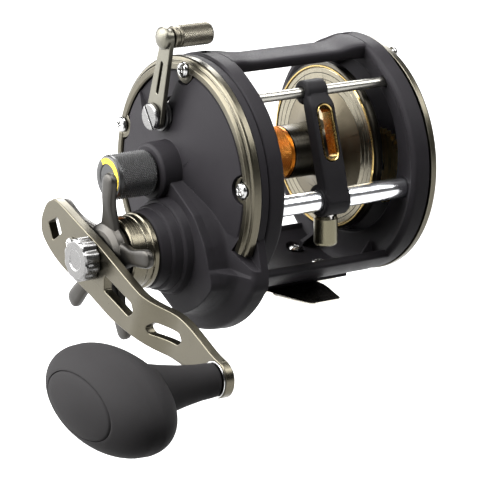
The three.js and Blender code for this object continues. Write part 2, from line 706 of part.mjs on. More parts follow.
function makeGrip() {
  const neck = turned([[-34.2, 0], ...NECK, [-62, 0]], KNOB, 14);
  const head = new THREE.SphereGeometry(1, 18, 10).scale(...KNOB_HEAD.half);
  head.rotateX(radians(KNOB_HEAD.lean)).translate(KNOB_HEAD.x, KNOB[0], KNOB[1]);
  return cut(join(neck, solid(head)), disc(-61.5, -30, 2.6, KNOB, 10));
}

function makeKnobSpindle() {
  const shank = [[-61, 0], [-61, 2.2], [-29.8, 2.2]];
  return turned([...shank, [-29.8, 4.2], [-28.9, 3.8], [-28.3, 2.4], [-28.3, 0]], KNOB, 12);
}

// ---------- small turned pieces ----------
function makeTensionKnob() {
  const cap = turned([[-11.4, 0], [-11.4, 7], [-12, 7.4], [-25, 7.4], [-26, 6.6], [-26, 0]], SPOOL, 20);
  return cut(cap, disc(-22, -5, 5.4, SPOOL, 12));
}

function makeLeverGrip() {
  const profile = [[-8, 0], [-8, 1.4], [-4.2, 1.4], [-4.2, 3.2], [-3.6, 3.6], [9.2, 3.6], [10, 2.8], [10, 0]];
  return turned(profile, LEVER_TOP, 12);
}

function makeLeverCap() {
  const profile = [[-9, 0], [-9, 2], [-8.2, 3.4], [-6.6, 3.6], [-6.6, 1.7], [-8.3, 1.7], [-8.3, 0]];
  return turned(profile, LEVER_TOP, 12);
}

function makeLeverScrew() {
  const profile = [[-8, 0], [-8, 4], [-7.6, 4.4], [-6.6, 4.4], [-6.6, 2], [3.4, 2], [3.4, 0]];
  return cut(turned(profile, LEVER, 12), box([-9, LEVER[0] - 0.5, 10], [-7.4, LEVER[0] + 0.5, 30]));
}

function makeClickButton() {
  const ends = [-1, 1].map((shift) => circle(2.4, [CLICK[0], CLICK[1] + shift], 12));
  const head = hullSlab(77.9, 79.6, ends.flat());
  return join(head, box([71.2, CLICK[0] - 1.2, CLICK[1] - 1.5], [78, CLICK[0] + 1.2, CLICK[1] + 1.5]));
}

function makeClickTongue() {
  return hullSlab(66.4, 70.9, [
    [CLICK[0] - 1.2, CLICK[1] + 1.5], [CLICK[0] + 1.2, CLICK[1] + 1.5], [CLICK[0] + 1.2, CLICK[1] - 1],
    [CLICK[0], CLICK[1] - 2.4], [CLICK[0] - 1.2, CLICK[1] - 1],
  ]);
}

// ---------- assembly ----------
add('frame', makeFrame(), 'graphite');
add('handle_side_plate', makeHandleSidePlate(), 'graphite');
add('handle_side_ring', makeHandleSideRing(), 'bronze');
RING_LUGS.forEach(({ angle, r }, i) => {
  add(`ring_screw_${i + 1}`, screwX(-1.3, 13, polar(r, angle)), 'steel');
});
add('left_side_plate', makeLeftSidePlate(), 'graphite');
add('left_ring', makeLeftRing(), 'bronze');
LEFT_SCREW_ANGLES.forEach((angle, i) => add(`left_ring_screw_${i + 1}`, leftScrew(angle), 'steel'));
add('reel_foot', makeFoot(), 'gunmetal');
FOOT_SCREWS.forEach((place, i) => add(`foot_screw_${i + 1}`, footScrew(place), 'steel'));

add('bridge_plate', makeBridge(), 'steel');
add('gear_post', makeGearPost(), 'steel');
add('drive_sleeve', makeSleeve(), 'steel');
add('anti_reverse_ratchet', makeRatchet(), 'steel');
add('anti_reverse_dog', makeDog(), 'steel');
add('main_gear', gear(-0.4, 2.6, MAIN_TEETH, mainPitchR, CRANK, towardsSpool, SLEEVE_BORE), 'brass');
add('drag_washer_fibre', tube(-1.7, -0.7, 13, SLEEVE_BORE, CRANK, 18), 'fibre');
add('drag_washer_steel', tube(-3, -2, 13, SLEEVE_BORE, CRANK, 18), 'steel');
add('sleeve_bearing', tube(-7.2, -3.4, 8, SLEEVE_BORE, CRANK, 12), 'steel');
add('drag_collar', makeCollar(), 'bronze');
add('star_drag', makeStar(), 'gunmetal');
add('handle_arm', makeHandleArm(), 'bronze');
add('handle_nut', makeHandleNut(), 'steel');
add('handle_lock_screw', screwX(BLADE_BACK - BLADE_THICK - 1.8, 4, LOCK_SCREW, 1.9, 1), 'steel');
add('knob_spindle', makeKnobSpindle(), 'steel');
add('handle_knob', makeGrip(), 'rubber');

add('spool', makeSpool(), 'bronze');
add('line_grip_sleeve', tube(ARBOR[0] + GAP, GRIP_END, ARBOR_R, 7.9, SPOOL, 20), 'orange');
add('spool_shaft', makeSpoolShaft(), 'steel');
add('clutch_pin', post(2.4, SPOOL[0], SPOOL[1] - 3.4, SPOOL[1] + 3.4, 0.5, 10), 'steel');
add('click_gear', makeClickGear(), 'steel');
const spoolTooth = towardsWorm + 180 / SPOOL_TEETH;
add('spool_drive_gear', gear(...TRAIN, SPOOL_TEETH, spoolPitchR, SPOOL, spoolTooth, SHAFT_BORE), 'brass');
add('spool_bearing_handle_side', tube(4.6, 6.9, 5.2, SHAFT_BORE, SPOOL, 12), 'steel');
add('spool_bearing_left_side', tube(71.5, 74.1, 5.2, SHAFT_BORE, SPOOL, 12), 'steel');
add('tension_knob', makeTensionKnob(), 'rubber');

add('pinion', makePinion(), 'brass');
add('clutch_yoke', makeYoke(), 'steel');
add('clutch_lever', makeClutchLever(), 'bronze');
add('lever_grip', makeLeverGrip(), 'bronze');
add('lever_cap', makeLeverCap(), 'steel');
add('lever_screw', makeLeverScrew(), 'steel');
add('lever_washer', tube(-4.2, -2.2, 5, 2.4, LEVER, 12), 'graphite');
add('clutch_cam', makeClutchCam(), 'steel');

add('worm_shield', makeWormShield(), 'chrome');
add('guide_rod', disc(8.5, 66.8, ROD_R, ROD, 10), 'steel');
add('worm_shaft', disc(8.2, 70.3, WORM_R, WORM, 10), 'steel');
add('idler_gear', gear(...TRAIN, IDLER_TEETH, idlerPitchR, idlerCentre, towardsWorm, SHAFT_BORE), 'brass');
const wormTooth = towardsWorm + 180 + 180 / WORM_TEETH;
add('worm_gear', gear(...TRAIN, WORM_TEETH, wormPitchR, WORM, wormTooth, 2.2), 'brass');
add('line_guide', makeLineGuide(), 'graphite');
add('line_guide_insert', makeLineGuideInsert(), 'brass');
add('pawl', makePawl(), 'steel');
add('pawl_cap', makePawlCap(), 'bronze');
add('click_button', makeClickButton(), 'graphite');
add('click_tongue', makeClickTongue(), 'steel');

export default group;
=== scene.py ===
"""The looks of the trolling reel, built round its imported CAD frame.

Pieces are drawn in the reel's own axes, in millimetres, and then carried into the frame: +X runs
along the spool from the handle side to the left side, -Y is the front, and the side rings are
centred on y = 0, z = 0.
"""
import math

import bmesh
import bpy
from mathutils import Matrix, Vector


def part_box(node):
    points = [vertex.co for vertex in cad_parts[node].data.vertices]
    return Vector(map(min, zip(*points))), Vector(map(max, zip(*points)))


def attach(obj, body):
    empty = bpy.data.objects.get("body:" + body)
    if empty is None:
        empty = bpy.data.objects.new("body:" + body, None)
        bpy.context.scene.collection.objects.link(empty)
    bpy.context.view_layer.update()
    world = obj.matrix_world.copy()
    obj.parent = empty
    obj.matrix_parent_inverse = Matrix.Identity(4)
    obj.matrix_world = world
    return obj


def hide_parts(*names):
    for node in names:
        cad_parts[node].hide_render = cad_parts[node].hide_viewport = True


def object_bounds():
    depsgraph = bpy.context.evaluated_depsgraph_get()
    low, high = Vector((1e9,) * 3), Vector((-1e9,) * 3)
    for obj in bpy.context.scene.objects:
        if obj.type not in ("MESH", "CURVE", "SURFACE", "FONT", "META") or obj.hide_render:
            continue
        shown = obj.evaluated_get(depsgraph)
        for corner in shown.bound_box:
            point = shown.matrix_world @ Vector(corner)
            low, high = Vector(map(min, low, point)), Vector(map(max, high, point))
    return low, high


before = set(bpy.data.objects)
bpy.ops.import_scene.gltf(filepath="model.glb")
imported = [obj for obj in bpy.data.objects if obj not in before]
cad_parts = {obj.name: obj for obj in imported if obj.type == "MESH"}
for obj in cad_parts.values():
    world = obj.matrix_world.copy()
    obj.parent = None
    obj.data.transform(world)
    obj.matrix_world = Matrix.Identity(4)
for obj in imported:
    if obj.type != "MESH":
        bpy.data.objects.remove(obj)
cad_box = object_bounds()

# ---------- places, from the frame ----------
MM = 0.001
RIM_LOW, RIM_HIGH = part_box("left_ring")
ORIGIN = Vector((
    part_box("handle_side_ring")[0].x,
    (RIM_LOW.y + RIM_HIGH.y) / 2,
    (RIM_LOW.z + RIM_HIGH.z) / 2,
))
TO_WORLD = Matrix.Translation(ORIGIN) @ Matrix.Scale(MM, 4)


def extent(node):
    """A CAD node's lowest and highest corners, in the reel's millimetres."""
    low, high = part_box(node)
    return (low - ORIGIN) / MM, (high - ORIGIN) / MM


def axis_of(node):
    low, high = extent(node)
    return (low.y + high.y) / 2, (low.z + high.z) / 2


SPOOL = axis_of("spool_shaft")
CRANK = axis_of("drive_sleeve")
WORM = axis_of("worm_shaft")
ROD = axis_of("guide_rod")
LEVER = axis_of("lever_screw")
LEVER_TOP = axis_of("lever_cap")
KNOB = axis_of("knob_spindle")
CLICK = axis_of("click_button")
GUIDE_X = (extent("line_guide")[0].x + extent("line_guide")[1].x) / 2
NEAR_RING = (7.3, 13.7)
FAR_RING = (64.3, 70.6)
PLATE_R = 38.7
RING_R = 39.0
RING_IN = 34.5
OPENING_R = 29.0
GAP = 0.3
LUGS = [axis_of(f"ring_screw_{i}") for i in (1, 2, 3)]
LEFT_SCREWS = [axis_of(f"left_ring_screw_{i}") for i in (1, 2, 3)]
ROD_HOLE_R = 1.95
TUBE_HOLE_R = 3.45
SLEEVE_HOLE_R = 4.7
RING_SHANK_R = 1.5
LEFT_SHANK_R = 1.3


# ---------- points and outlines ----------
def polar(r, degrees, centre=(0.0, 0.0)):
    """A point at an angle from straight up, turning towards the front."""
    angle = math.radians(degrees)
    return centre[0] - r * math.sin(angle), centre[1] + r * math.cos(angle)


def bearing(start, end):
    return math.degrees(math.atan2(start[0] - end[0], end[1] - start[1]))


def arc(r, start, end, centre=(0.0, 0.0), steps=24):
    return [polar(r, start + (end - start) * i / steps, centre) for i in range(steps + 1)]


def circle(r, centre=(0.0, 0.0), steps=96):
    return [polar(r, 360 * i / steps, centre) for i in range(steps)]


def smoothstep(low, high, value):
    t = min(max((value - low) / (high - low), 0.0), 1.0)
    return t * t * (3 - 2 * t)


def rounded(points, steps=4, closed=False):
    """An outline whose corners with a third number are rounded to that radius."""
    result = []
    last = len(points) - 1
    for i, point in enumerate(points):
        corner = Vector(point[:2])
        if len(point) < 3 or (not closed and i in (0, last)):
            result.append(tuple(corner))
            continue
        before = Vector(points[i - 1][:2]) - corner
        after = Vector(points[(i + 1) % len(points)][:2]) - corner
        half = before.angle(after) / 2
        reach = min(point[2] / math.tan(half), 0.48 * before.length, 0.48 * after.length)
        start = corner + before.normalized() * reach
        end = corner + after.normalized() * reach
        for k in range(steps + 1):
            t = k / steps
            result.append(tuple((1 - t) ** 2 * start + 2 * t * (1 - t) * corner + t * t * end))
    return result


def spline(points, steps=6):
    """A closed smooth curve through the points."""
    count = len(points)
    result = []
    for i in range(count):
        a, b, c, d = (Vector(points[(i + k) % count]) for k in (-1, 0, 1, 2))
        for k in range(steps):
            t = k / steps
            result.append(tuple(0.5 * (
                2 * b + (c - a) * t + (2 * a - 5 * b + 4 * c - d) * t * t + (3 * b - a - 3 * c + d) * t ** 3
            )))
    return result


def reach_of(centre, degrees, outline):
    """How far an outline lies from a centre, at an angle."""
    direction = Vector(polar(1, degrees))
    origin = Vector(centre)
    best = 0.0
    for i, point in enumerate(outline):
        start = Vector(point) - origin
        edge = Vector(outline[(i + 1) % len(outline)]) - origin - start
        cross = direction.x * edge.y - direction.y * edge.x
        if abs(cross) < 1e-9:
            continue
        along = (start.x * edge.y - start.y * edge.x) / cross
        share = (start.x * direction.y - start.y * direction.x) / cross
        if along > 0 and -1e-6 <= share <= 1 + 1e-6:
            best = max(best, along)
    return best


# ---------- solids ----------
def make(name, points, faces):
    mesh = bpy.data.meshes.new(name)
    mesh.from_pydata(points, [], faces)
    work = bmesh.new()
    work.from_mesh(mesh)
    bmesh.ops.remove_doubles(work, verts=work.verts, dist=1e-5)
    bmesh.ops.recalc_face_normals(work, faces=work.faces)
    work.to_mesh(mesh)
    work.free()
    piece = bpy.data.objects.new(name, mesh)
    bpy.context.scene.collection.objects.link(piece)
    return piece


def at_x(x, outline):
    return [(x, y, z) for y, z in outline]


def loft(name, rings, loop=False, knurl=None):
    """A closed skin over rings of points; a ring of one point is a pole.

    Rows in the knurl range are split along their valleys, so that each diamond has four sides.
    """
    points = [point for ring in rings for point in ring]
    starts = [sum(len(ring) for ring in rings[:i]) for i in range(len(rings))]
    faces = []
    rows = len(rings)
    for a in range(rows if loop else rows - 1):
        b = (a + 1) % rows
        count = max(len(rings[a]), len(rings[b]))
        for i in range(count):
            j = (i + 1) % count
            a0, a1 = (starts[a] + (k if len(rings[a]) > 1 else 0) for k in (i, j))
            b0, b1 = (starts[b] + (k if len(rings[b]) > 1 else 0) for k in (i, j))
            if knurl and knurl[0] <= a < knurl[1]:
                if (a + i) % 2 == 0:
                    faces += [(a0, a1, b0), (a1, b1, b0)]
                else:
                    faces += [(a0, a1, b1), (a0, b1, b0)]
                continue
            corners = []
            for corner in (a0, a1, b1, b0):
                if corner not in corners:
                    corners.append(corner)
            faces.append(tuple(corners))
    if not loop:
        for ring, start in ((rings[0], starts[0]), (rings[-1], starts[-1])):
            if len(ring) > 1:
                faces.append(tuple(range(start, start + len(ring))))
    return make(name, points, faces)


def lathe(name, profile, centre=(0.0, 0.0), steps=96):
    """A solid of revolution about an X axis; the profile holds (x, r) pairs."""
    rings = [[(x, *centre)] if r == 0 else at_x(x, circle(r, centre, steps)) for x, r in profile]
    return loft(name, rings, loop=profile[0][1] != 0)


def prism(name, x0, x1, outline):
    return loft(name, [at_x(x0, outline), at_x(x1, outline)])


def disc(x0, x1, r, centre=(0.0, 0.0), steps=48):
    return prism("tool", x0, x1, circle(r, centre, steps))


def upright(x, y, z0, z1, r, steps=32):
    ring = [(x + r * math.cos(2 * math.pi * i / steps), y + r * math.sin(2 * math.pi * i / steps))
            for i in range(steps)]
    return loft("tool", [[(px, py, z) for px, py in ring] for z in (z0, z1)])


def block(low, high):
    corners = [(low[1], low[2]), (high[1], low[2]), (high[1], high[2]), (low[1], high[2])]
    return prism("tool", low[0], high[0], corners)


def bake(piece):
    """Makes a piece's modifiers part of its mesh."""
    depsgraph = bpy.context.evaluated_depsgraph_get()
    mesh = bpy.data.meshes.new_from_object(piece.evaluated_get(depsgraph))
    piece.modifiers.clear()
    old = piece.data
    piece.data = mesh
    bpy.data.meshes.remove(old)


def merge(piece, tools, operation):
    for tool in tools:
        modifier = piece.modifiers.new("merge", "BOOLEAN")
        modifier.operation = operation
        modifier.solver = "MANIFOLD"
        modifier.object = tool
    bake(piece)
    for tool in tools:
        bpy.data.objects.remove(tool)
    return piece


def fuse(piece, *tools):
    return merge(piece, tools, "UNION")


def carve(piece, *tools):
    return merge(piece, tools, "DIFFERENCE")


def soften(piece, width, segments=2, angle=30):
    """Rounds the sharp edges of a piece."""
    modifier = piece.modifiers.new("edges", "BEVEL")
    modifier.width = width
    modifier.segments = segments
    modifier.limit_method = "ANGLE"
    modifier.angle_limit = math.radians(angle)
    modifier.use_clamp_overlap = False
    bake(piece)
    return piece


def move_points(piece, rule):
    for vertex in piece.data.vertices:
        vertex.co = rule(vertex.co)
    return piece


def cut_across(piece, places):
    """Cuts a piece's faces at several y values, so that a bend can follow them."""
    work = bmesh.new()
    work.from_mesh(piece.data)
    for y in places:
        bmesh.ops.bisect_plane(work, geom=work.verts[:] + work.edges[:] + work.faces[:], plane_co=(0, y, 0),
                               plane_no=(0, 1, 0))
    work.to_mesh(piece.data)
    work.free()


def install(piece, name, body, slot, material, *nodes, smooth=38):
    """Carries a finished piece into the frame and onto its body."""
    piece.name = name
    piece.data.name = name
    piece.data.transform(TO_WORLD)
    if piece.data.materials:
        piece.data.materials.clear()
    for surface in material if isinstance(material, list) else [material]:
        piece.data.materials.append(surface)
    piece.data.shade_smooth()
    piece.data.set_sharp_from_angle(angle=math.radians(smooth))
    modifier = piece.modifiers.new("normals", "WEIGHTED_NORMAL")
    modifier.keep_sharp = True
    bake(piece)
    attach(piece, body)
    if nodes:
        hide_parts(*nodes)
    return piece


# ---------- materials ----------
class Shader:
    """A material whose pattern is measured in the reel's millimetres."""

    def __init__(self, name, centre=(0.0, 0.0, 0.0)):
        self.material = bpy.data.materials.new(name)
        self.material.use_nodes = True
        self.tree = self.material.node_tree
        self.surface = self.tree.nodes["Principled BSDF"]
        coordinate = self.node("ShaderNodeTexCoord")
        mapping = self.node("ShaderNodeMapping")
        mapping.inputs["Scale"].default_value = (1 / MM, 1 / MM, 1 / MM)
        mapping.inputs["Location"].default_value = -(ORIGIN / MM + Vector(centre))
        self.link(coordinate.outputs["Object"], mapping.inputs["Vector"])
        self.place = mapping.outputs["Vector"]

    def node(self, kind, **settings):
        made = self.tree.nodes.new(kind)
        for key, value in settings.items():
            setattr(made, key, value)
        return made

    def link(self, output, target):
        self.tree.links.new(output, target)

    def vector(self, operation, a, b):
        made = self.node("ShaderNodeVectorMath", operation=operation)
        for socket, value in zip(made.inputs, (a, b)):
            if hasattr(value, "is_linked"):
                self.link(value, socket)
            else:
                socket.default_value = value
        return made

    def math(self, operation, a, b=0.0, clamp=False):
        made = self.node("ShaderNodeMath", operation=operation, use_clamp=clamp)
        for socket, value in zip(made.inputs, (a, b)):
            if hasattr(value, "is_linked"):
                self.link(value, socket)
            else:
                socket.default_value = value
        return made.outputs["Value"]

    def scaled(self, vector, amount):
        made = self.node("ShaderNodeVectorMath", operation="SCALE")
        self.link(vector, made.inputs[0])
        if hasattr(amount, "is_linked"):
            self.link(amount, made.inputs["Scale"])
        else:
            made.inputs["Scale"].default_value = amount
        return made.outputs["Vector"]

    def pattern(self, kind, along=(1.0, 0.0, 0.0)):
        """The place that a pattern is drawn at: grain, turned, radial or brushed."""
        if kind == "grain":
            return self.place
        across = self.vector("MULTIPLY", self.place, (0.0, 1.0, 1.0)).outputs["Vector"]
        if kind == "turned":
            radius = self.vector("LENGTH", across, (0.0, 0.0, 0.0)).outputs["Value"]
            split = self.node("ShaderNodeSeparateXYZ")
            self.link(self.place, split.inputs[0])
            joined = self.node("ShaderNodeCombineXYZ")
            self.link(split.outputs["X"], joined.inputs["X"])
            self.link(radius, joined.inputs["Y"])
            return joined.outputs["Vector"]
        if kind == "radial":
            return self.scaled(self.vector("NORMALIZE", across, (0.0, 0.0, 0.0)).outputs["Vector"], 14.0)
        share = self.vector("DOT_PRODUCT", self.place, along).outputs["Value"]
        direction = self.node("ShaderNodeCombineXYZ")
        for socket, value in zip(direction.inputs, along):
            socket.default_value = value
        lengthwise = self.scaled(direction.outputs["Vector"], share)
        return self.vector("SUBTRACT", self.place, self.scaled(lengthwise, 0.96)).outputs["Vector"]

    def noise(self, place, scale, detail=3.0, roughness=0.6):
        made = self.node("ShaderNodeTexNoise")
        made.inputs["Scale"].default_value = scale
        made.inputs["Detail"].default_value = detail
        made.inputs["Roughness"].default_value = roughness
        self.link(place, made.inputs["Vector"])
        return made.outputs["Fac"]

    def spread(self, value, low, high, start=0.3, end=0.7):
        made = self.node("ShaderNodeMapRange", clamp=True)
        for socket, number in zip(("From Min", "From Max", "To Min", "To Max"), (start, end, low, high)):
            made.inputs[socket].default_value = number
        self.link(value, made.inputs["Value"])
        return made.outputs["Result"]

    def mix(self, factor, a, b):
        made = self.node("ShaderNodeMix", data_type="RGBA")
        self.link(factor, made.inputs["Factor"])
        for socket, value in zip((made.inputs[6], made.inputs[7]), (a, b)):
            if hasattr(value, "is_linked"):
                self.link(value, socket)
            else:
                socket.default_value = (*value, 1.0)
        return made.outputs[2]

    def edges(self, radius, start, end):
        """How close a point is to an outward or inward edge, broken up by noise."""
        soft = self.node("ShaderNodeBevel", samples=4)
        soft.inputs["Radius"].default_value = radius * MM
        shape = self.node("ShaderNodeNewGeometry")
        alike = self.vector("DOT_PRODUCT", soft.outputs["Normal"], shape.outputs["Normal"]).outputs["Value"]
        turn = self.spread(self.math("SUBTRACT", 1.0, alike), 0.0, 1.0, start, end)
        return self.math("MULTIPLY", turn, self.spread(self.noise(self.place, 1.1), 0.35, 1.0), clamp=True)


def shade(colour, factor):
    return tuple(min(channel * factor, 1.0) for channel in colour)


def finish(name, colour, metallic, roughness, kind="grain", scale=3.0, depth=0.01, tint=0.12, gloss=0.08,
           worn=None, centre=(0.0, 0.0, 0.0), along=(1.0, 0.0, 0.0), specular=0.5):
    """A surface with a fine pattern, smudges, and edges worn to a lighter colour."""
    shader = Shader(name, centre)
    fine = shader.noise(shader.pattern(kind, along), scale)
    smudge = shader.noise(shader.place, 0.12, 2.0)
    base = shader.mix(fine, shade(colour, 1 - tint), shade(colour, 1 + tint))
    base = shader.mix(shader.spread(smudge, 0.0, 0.5), base, shade(colour, 1 + tint))
    if worn:
        base = shader.mix(shader.edges(0.4, 0.02, 0.3), base, worn)
    shader.link(base, shader.surface.inputs["Base Color"])
    overall = shader.spread(smudge, roughness - gloss / 2, roughness + gloss / 2)
    polish = shader.math("ADD", shader.spread(fine, -gloss, gloss), overall)
    shader.link(polish, shader.surface.inputs["Roughness"])
    shader.surface.inputs["Metallic"].default_value = metallic
    shader.surface.inputs["Specular IOR Level"].default_value = specular
    bump = shader.node("ShaderNodeBump")
    bump.inputs["Strength"].default_value = 1.0
    bump.inputs["Distance"].default_value = depth * MM
    shader.link(fine, bump.inputs["Height"])
    shader.link(bump.outputs["Normal"], shader.surface.inputs["Normal"])
    return shader.material


ARM_DEGREES = 112.0
ARM_WAY = (0.0, *polar(1, ARM_DEGREES))
LEVER_WAY = (0.0, *polar(1, bearing(LEVER, LEVER_TOP)))
BRONZE = (0.078, 0.071, 0.053)
PALE_EDGE = (0.30, 0.285, 0.24)

graphite = finish("moulded_graphite", (0.0140, 0.0129, 0.0146), 0.0, 0.5, scale=2.2, depth=0.02, tint=0.25,
                  worn=(0.045, 0.043, 0.047), specular=0.05)
dark_graphite = finish("guide_graphite", (0.0080, 0.0075, 0.0084), 0.0, 0.55, scale=2.6, depth=0.02,
                       tint=0.25, worn=(0.035, 0.034, 0.037), specular=0.08)
ring_bronze = finish("anodised_ring", BRONZE, 1.0, 0.30, "turned", 5.0, 0.006, 0.12, 0.06, PALE_EDGE)
arm_bronze = finish("anodised_arm", BRONZE, 1.0, 0.33, "brushed", 6.0, 0.006, 0.12, 0.06, PALE_EDGE,
                    along=ARM_WAY)
lever_bronze = finish("anodised_lever", (0.11, 0.105, 0.086), 1.0, 0.34, "brushed", 6.0, 0.006, 0.12, 0.06,
                      PALE_EDGE, along=LEVER_WAY)
collar_bronze = finish("turned_collar", (0.085, 0.077, 0.057), 1.0, 0.24, "turned", 4.0, 0.006, 0.12, 0.06,
                       PALE_EDGE, centre=(0.0, *CRANK))
knurl_bronze = finish("knurled_bronze", (0.09, 0.082, 0.064), 1.0, 0.36, scale=5.0, depth=0.004,
                      worn=(0.30, 0.28, 0.23))
cap_bronze = finish("turned_pawl_cap", (0.13, 0.12, 0.082), 1.0, 0.28, "brushed", 6.0, 0.006, 0.12, 0.06,
                    PALE_EDGE, along=(0.0, 0.0, 1.0))
gunmetal = finish("gunmetal_star", (0.036, 0.034, 0.031), 1.0, 0.38, scale=4.0, depth=0.008, tint=0.18,
                  worn=(0.34, 0.32, 0.28))
foot_metal = finish("plated_foot", (0.16, 0.147, 0.128), 1.0, 0.3, "brushed", 6.0, 0.006, 0.15, 0.08,
                    (0.5, 0.48, 0.42), along=(0.0, 1.0, 0.0))
foot_edge = finish("polished_foot_edge", (0.66, 0.63, 0.56), 1.0, 0.2, "brushed", 8.0, 0.004,
                   along=(0.0, 0.0, 1.0))
steel = finish("satin_steel", (0.42, 0.41, 0.39), 1.0, 0.26, scale=5.0, depth=0.004, tint=0.08)
screw_steel = finish("screw_steel", (0.38, 0.38, 0.375), 1.0, 0.2, scale=5.0, depth=0.003, tint=0.08,
                     worn=(0.9, 0.9, 0.9))
nut_steel = finish("turned_nut", (0.15, 0.148, 0.146), 1.0, 0.28, "turned", 4.0, 0.006, 0.08, 0.06,
                   (0.85, 0.85, 0.85), centre=(0.0, *CRANK))
rod_steel = finish("satin_rod", (0.33, 0.32, 0.29), 1.0, 0.3, "brushed", 5.0, 0.005, 0.08, 0.06)
chrome = finish("polished_tube", (0.88, 0.89, 0.92), 1.0, 0.22, "brushed", 3.0, 0.002, 0.03, 0.04)
brass = finish("machined_brass", (0.56, 0.42, 0.19), 1.0, 0.3, "turned", 4.0, 0.005, 0.1, 0.06)
gold = finish("gold_insert", (0.36, 0.26, 0.10), 1.0, 0.24, scale=3.0, depth=0.003, tint=0.06)
orange = finish("orange_anodised", (0.34, 0.098, 0.008), 1.0, 0.34, scale=4.0, depth=0.004, tint=0.12,
                worn=(0.85, 0.42, 0.1))
rubber = finish("soft_rubber", (0.0145, 0.0138, 0.0142), 0.0, 0.7, scale=3.4, depth=0.035, tint=0.22,
                gloss=0.05, specular=0.05)
knurl_black = finish("knurled_black", (0.0035, 0.0035, 0.0038), 0.0, 0.38, scale=5.0, depth=0.004, tint=0.2,
                     worn=(0.09, 0.09, 0.09))
washer_black = finish("black_washer", (0.012, 0.012, 0.012), 0.0, 0.35, "turned", 4.0, 0.004,
                      centre=(0.0, *LEVER))
yellow = finish("index_yellow", (0.62, 0.43, 0.005), 0.0, 0.4, scale=5.0, depth=0.003, tint=0.08)
spool_bronze = finish("turned_spool", (0.085, 0.073, 0.05), 1.0, 0.36, "radial", 5.0, 0.008, 0.25, 0.09,
                      centre=(0.0, *SPOOL))
# Painted reflection: the flange faces get a bronze twice as light as the cone's, standing in for reflected
# light; the turned rings are the face's own pattern.
spool_face_painted_reflection = finish("turned_spool_face_painted_reflection", (0.17, 0.155, 0.118), 1.0, 0.24, "turned", 5.0, 0.006, 0.12, 0.08,
                    centre=(0.0, *SPOOL))
# Painted shade: a near-black bronze stands in for shadow on the spool's arbor, groove bottoms, flange rims
# and hub.
spool_painted_shade = finish("turned_spool_painted_shade", (0.022, 0.020, 0.016), 1.0, 0.3, "turned", 4.0, 0.005, 0.2, 0.06,
                    centre=(0.0, *SPOOL))
fibre = finish("drag_fibre", (0.22, 0.16, 0.09), 0.0, 0.8, scale=4.0, depth=0.03, tint=0.3)


# ---------- fasteners ----------
def cross_recess(x, centre, size, depth, turn):
    """Two crossed slots, as a cutter that reaches in from x."""
    tools = []
    for degrees in (turn, turn + 90):
        way = Vector(polar(1, degrees))
        side = Vector(polar(1, degrees + 90))
        middle = Vector(centre)
        corners = ((-1, -1), (1, -1), (1, 1), (-1, 1))
        outline = [middle + way * a * size + side * b * size * 0.24 for a, b in corners]
        tools.append(prism("tool", x - 2, x + depth, [tuple(p) for p in outline]))
    return tools


def pan_screw(x, length, centre, head_r, shank_r, turn, facing=1):
    """A pan-head screw along X; facing is 1 when its head looks towards -X."""
    profile = rounded([(0, 0), (0, head_r * 0.5), (0.25, head_r * 0.86, 0.6), (0.95, head_r, 0.3),
                       (1.35, head_r, 0.1), (1.35, shank_r), (length, shank_r), (length, 0)])
    screw = lathe("screw", profile, (0.0, 0.0), 40)
    carve(screw, *cross_recess(0, (0.0, 0.0), head_r * 0.55, 0.75, turn))
    soften(screw, 0.06, 1)
    return move_points(screw, lambda p: Vector((x + facing * p.x, centre[0] + facing * p.y, centre[1] + p.z)))


# ---------- the one-piece frame ----------
NEAR_HUMP = 0.8
FAR_HUMP = 1.3
HUMP_MIDDLE = 8.0


def rim(x, inset, hump, steps=180):
    """The outline of a frame ring, which swells into a hump at the top."""
    points = []
    for i in range(steps):
        degrees = 360 * i / steps
        away = abs((degrees - HUMP_MIDDLE + 180) % 360 - 180)
        points.append(polar(PLATE_R + hump * (1 - smoothstep(9, 27, away)) - inset, degrees))
    return at_x(x, points)


def hole(x, r, centre=SPOOL, steps=180):
    return at_x(x, circle(r, centre, steps))


